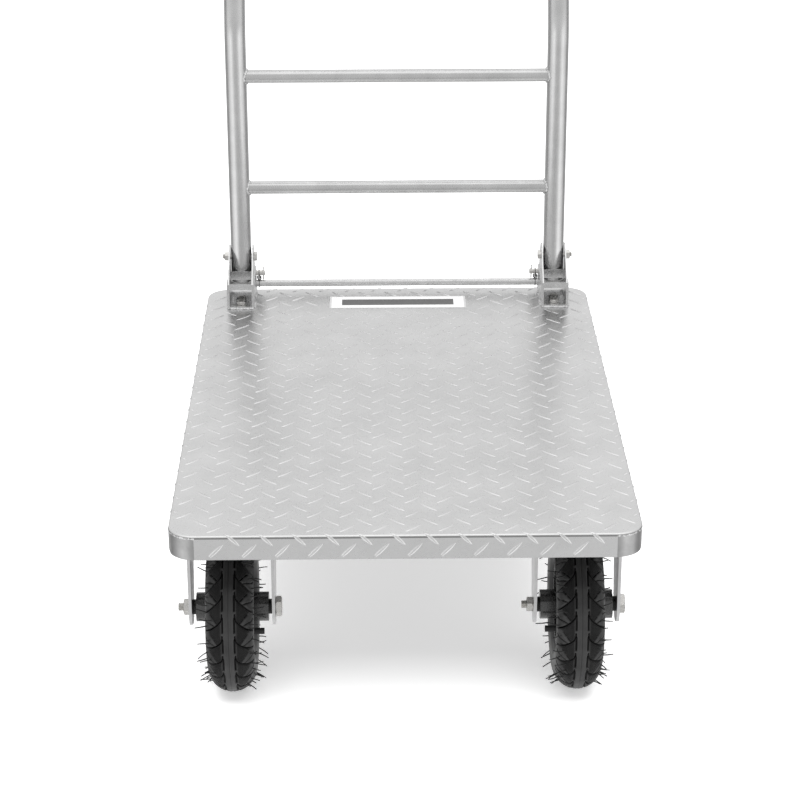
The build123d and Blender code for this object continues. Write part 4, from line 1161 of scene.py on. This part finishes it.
def make_world():
    """Studio surround: its low band follows the azimuth from the camera side, and above that it is even, up
    to a brightest patch straight overhead."""
    world = bpy.data.worlds.new("studio")
    bpy.context.scene.world = world
    world.use_nodes = True
    tree = world.node_tree

    def blend(factor, a, b):
        """a + factor (b - a)"""
        step = math_node(tree, "MULTIPLY", factor, math_node(tree, "SUBTRACT", b, a))
        return math_node(tree, "ADD", a, step)

    def rise(value, low, high, to_low=0.0, to_high=1.0):
        return rescale(tree, value, low, high, to_low, to_high, "SMOOTHSTEP")

    split = tree.nodes.new("ShaderNodeSeparateXYZ")
    feed(tree, split.inputs["Vector"], tree.nodes.new("ShaderNodeTexCoord").outputs["Generated"])
    sideways = math_node(tree, "ABSOLUTE", split.outputs["X"])
    azimuth = math_node(tree, "ARCTAN2", sideways, math_node(tree, "MULTIPLY", split.outputs["Y"], -1.0))
    share = math_node(tree, "DIVIDE", azimuth, math.pi)
    ramp = colour_ramp(tree, share, [(place, grey(tone / 2)) for place, tone in SURROUND], "EASE")
    low = math_node(tree, "MULTIPLY", ramp, 2.0)
    tone = blend(rise(split.outputs["Z"], *LOW_BAND), low, rise(share, 0.0, 1.0, UPPER_FRONT, UPPER_BACK))
    tone = blend(rise(split.outputs["Z"], *TOP_BAND), tone, OVERHEAD)
    back = tree.nodes["Background"]
    back.inputs["Strength"].default_value = 1.0
    feed(tree, back.inputs["Color"], tone)


def make_lamp(name, place, aim, size, power):
    """Rectangular lamp at a place, turned to its aim, that reflections don't show."""
    data = bpy.data.lights.new(name, "AREA")
    data.shape = "RECTANGLE"
    data.size, data.size_y = size
    data.energy = power
    lamp = add_object(name, data)
    lamp.visible_glossy = False
    lamp.location = place
    lamp.rotation_mode = "QUATERNION"
    lamp.rotation_quaternion = (Vector(aim) - Vector(place)).to_track_quat("-Z", "Y")


FLOOR_REACH = 14.0


def make_floor():
    """Plain pale floor that reflections look through, so that metal shows the surround instead."""
    floor_finish = Finish("floor")
    floor_finish.set(Base_Color=(0.93, 0.93, 0.93, 1.0), Roughness=1.0, Specular_IOR_Level=0.0,
                     Emission_Color=(1.0, 1.0, 1.0, 1.0), Emission_Strength=0.42)
    square = ((-1, -1), (1, -1), (1, 1), (-1, 1))
    mesh = bpy.data.meshes.new("floor")
    mesh.from_pydata([(x * FLOOR_REACH, y * FLOOR_REACH, 0) for x, y in square], [], [(0, 1, 2, 3)])
    mesh.materials.append(floor_finish.material)
    floor = add_object("floor", mesh)
    floor.visible_glossy = False


dress_nodes()
make_deck_sheet()
make_corner_strips()
make_tread_bars()
make_handle()
make_axles()
make_pivots()
make_springs()
make_base_welds()
for number, (end, side) in enumerate((e, s) for e in ("front", "rear") for s in ("left", "right")):
    make_tyre(end, side)
    make_whiskers(end, side, 100 + number)

make_camera()
make_world()
make_lamp("overhead", (0.0, -1.4, 3.2), (0.0, 0.0, 0.2), (3.4, 2.6), 150.0)
make_floor()
view = bpy.context.scene.view_settings
view.view_transform = "Standard"
view.look = "None"
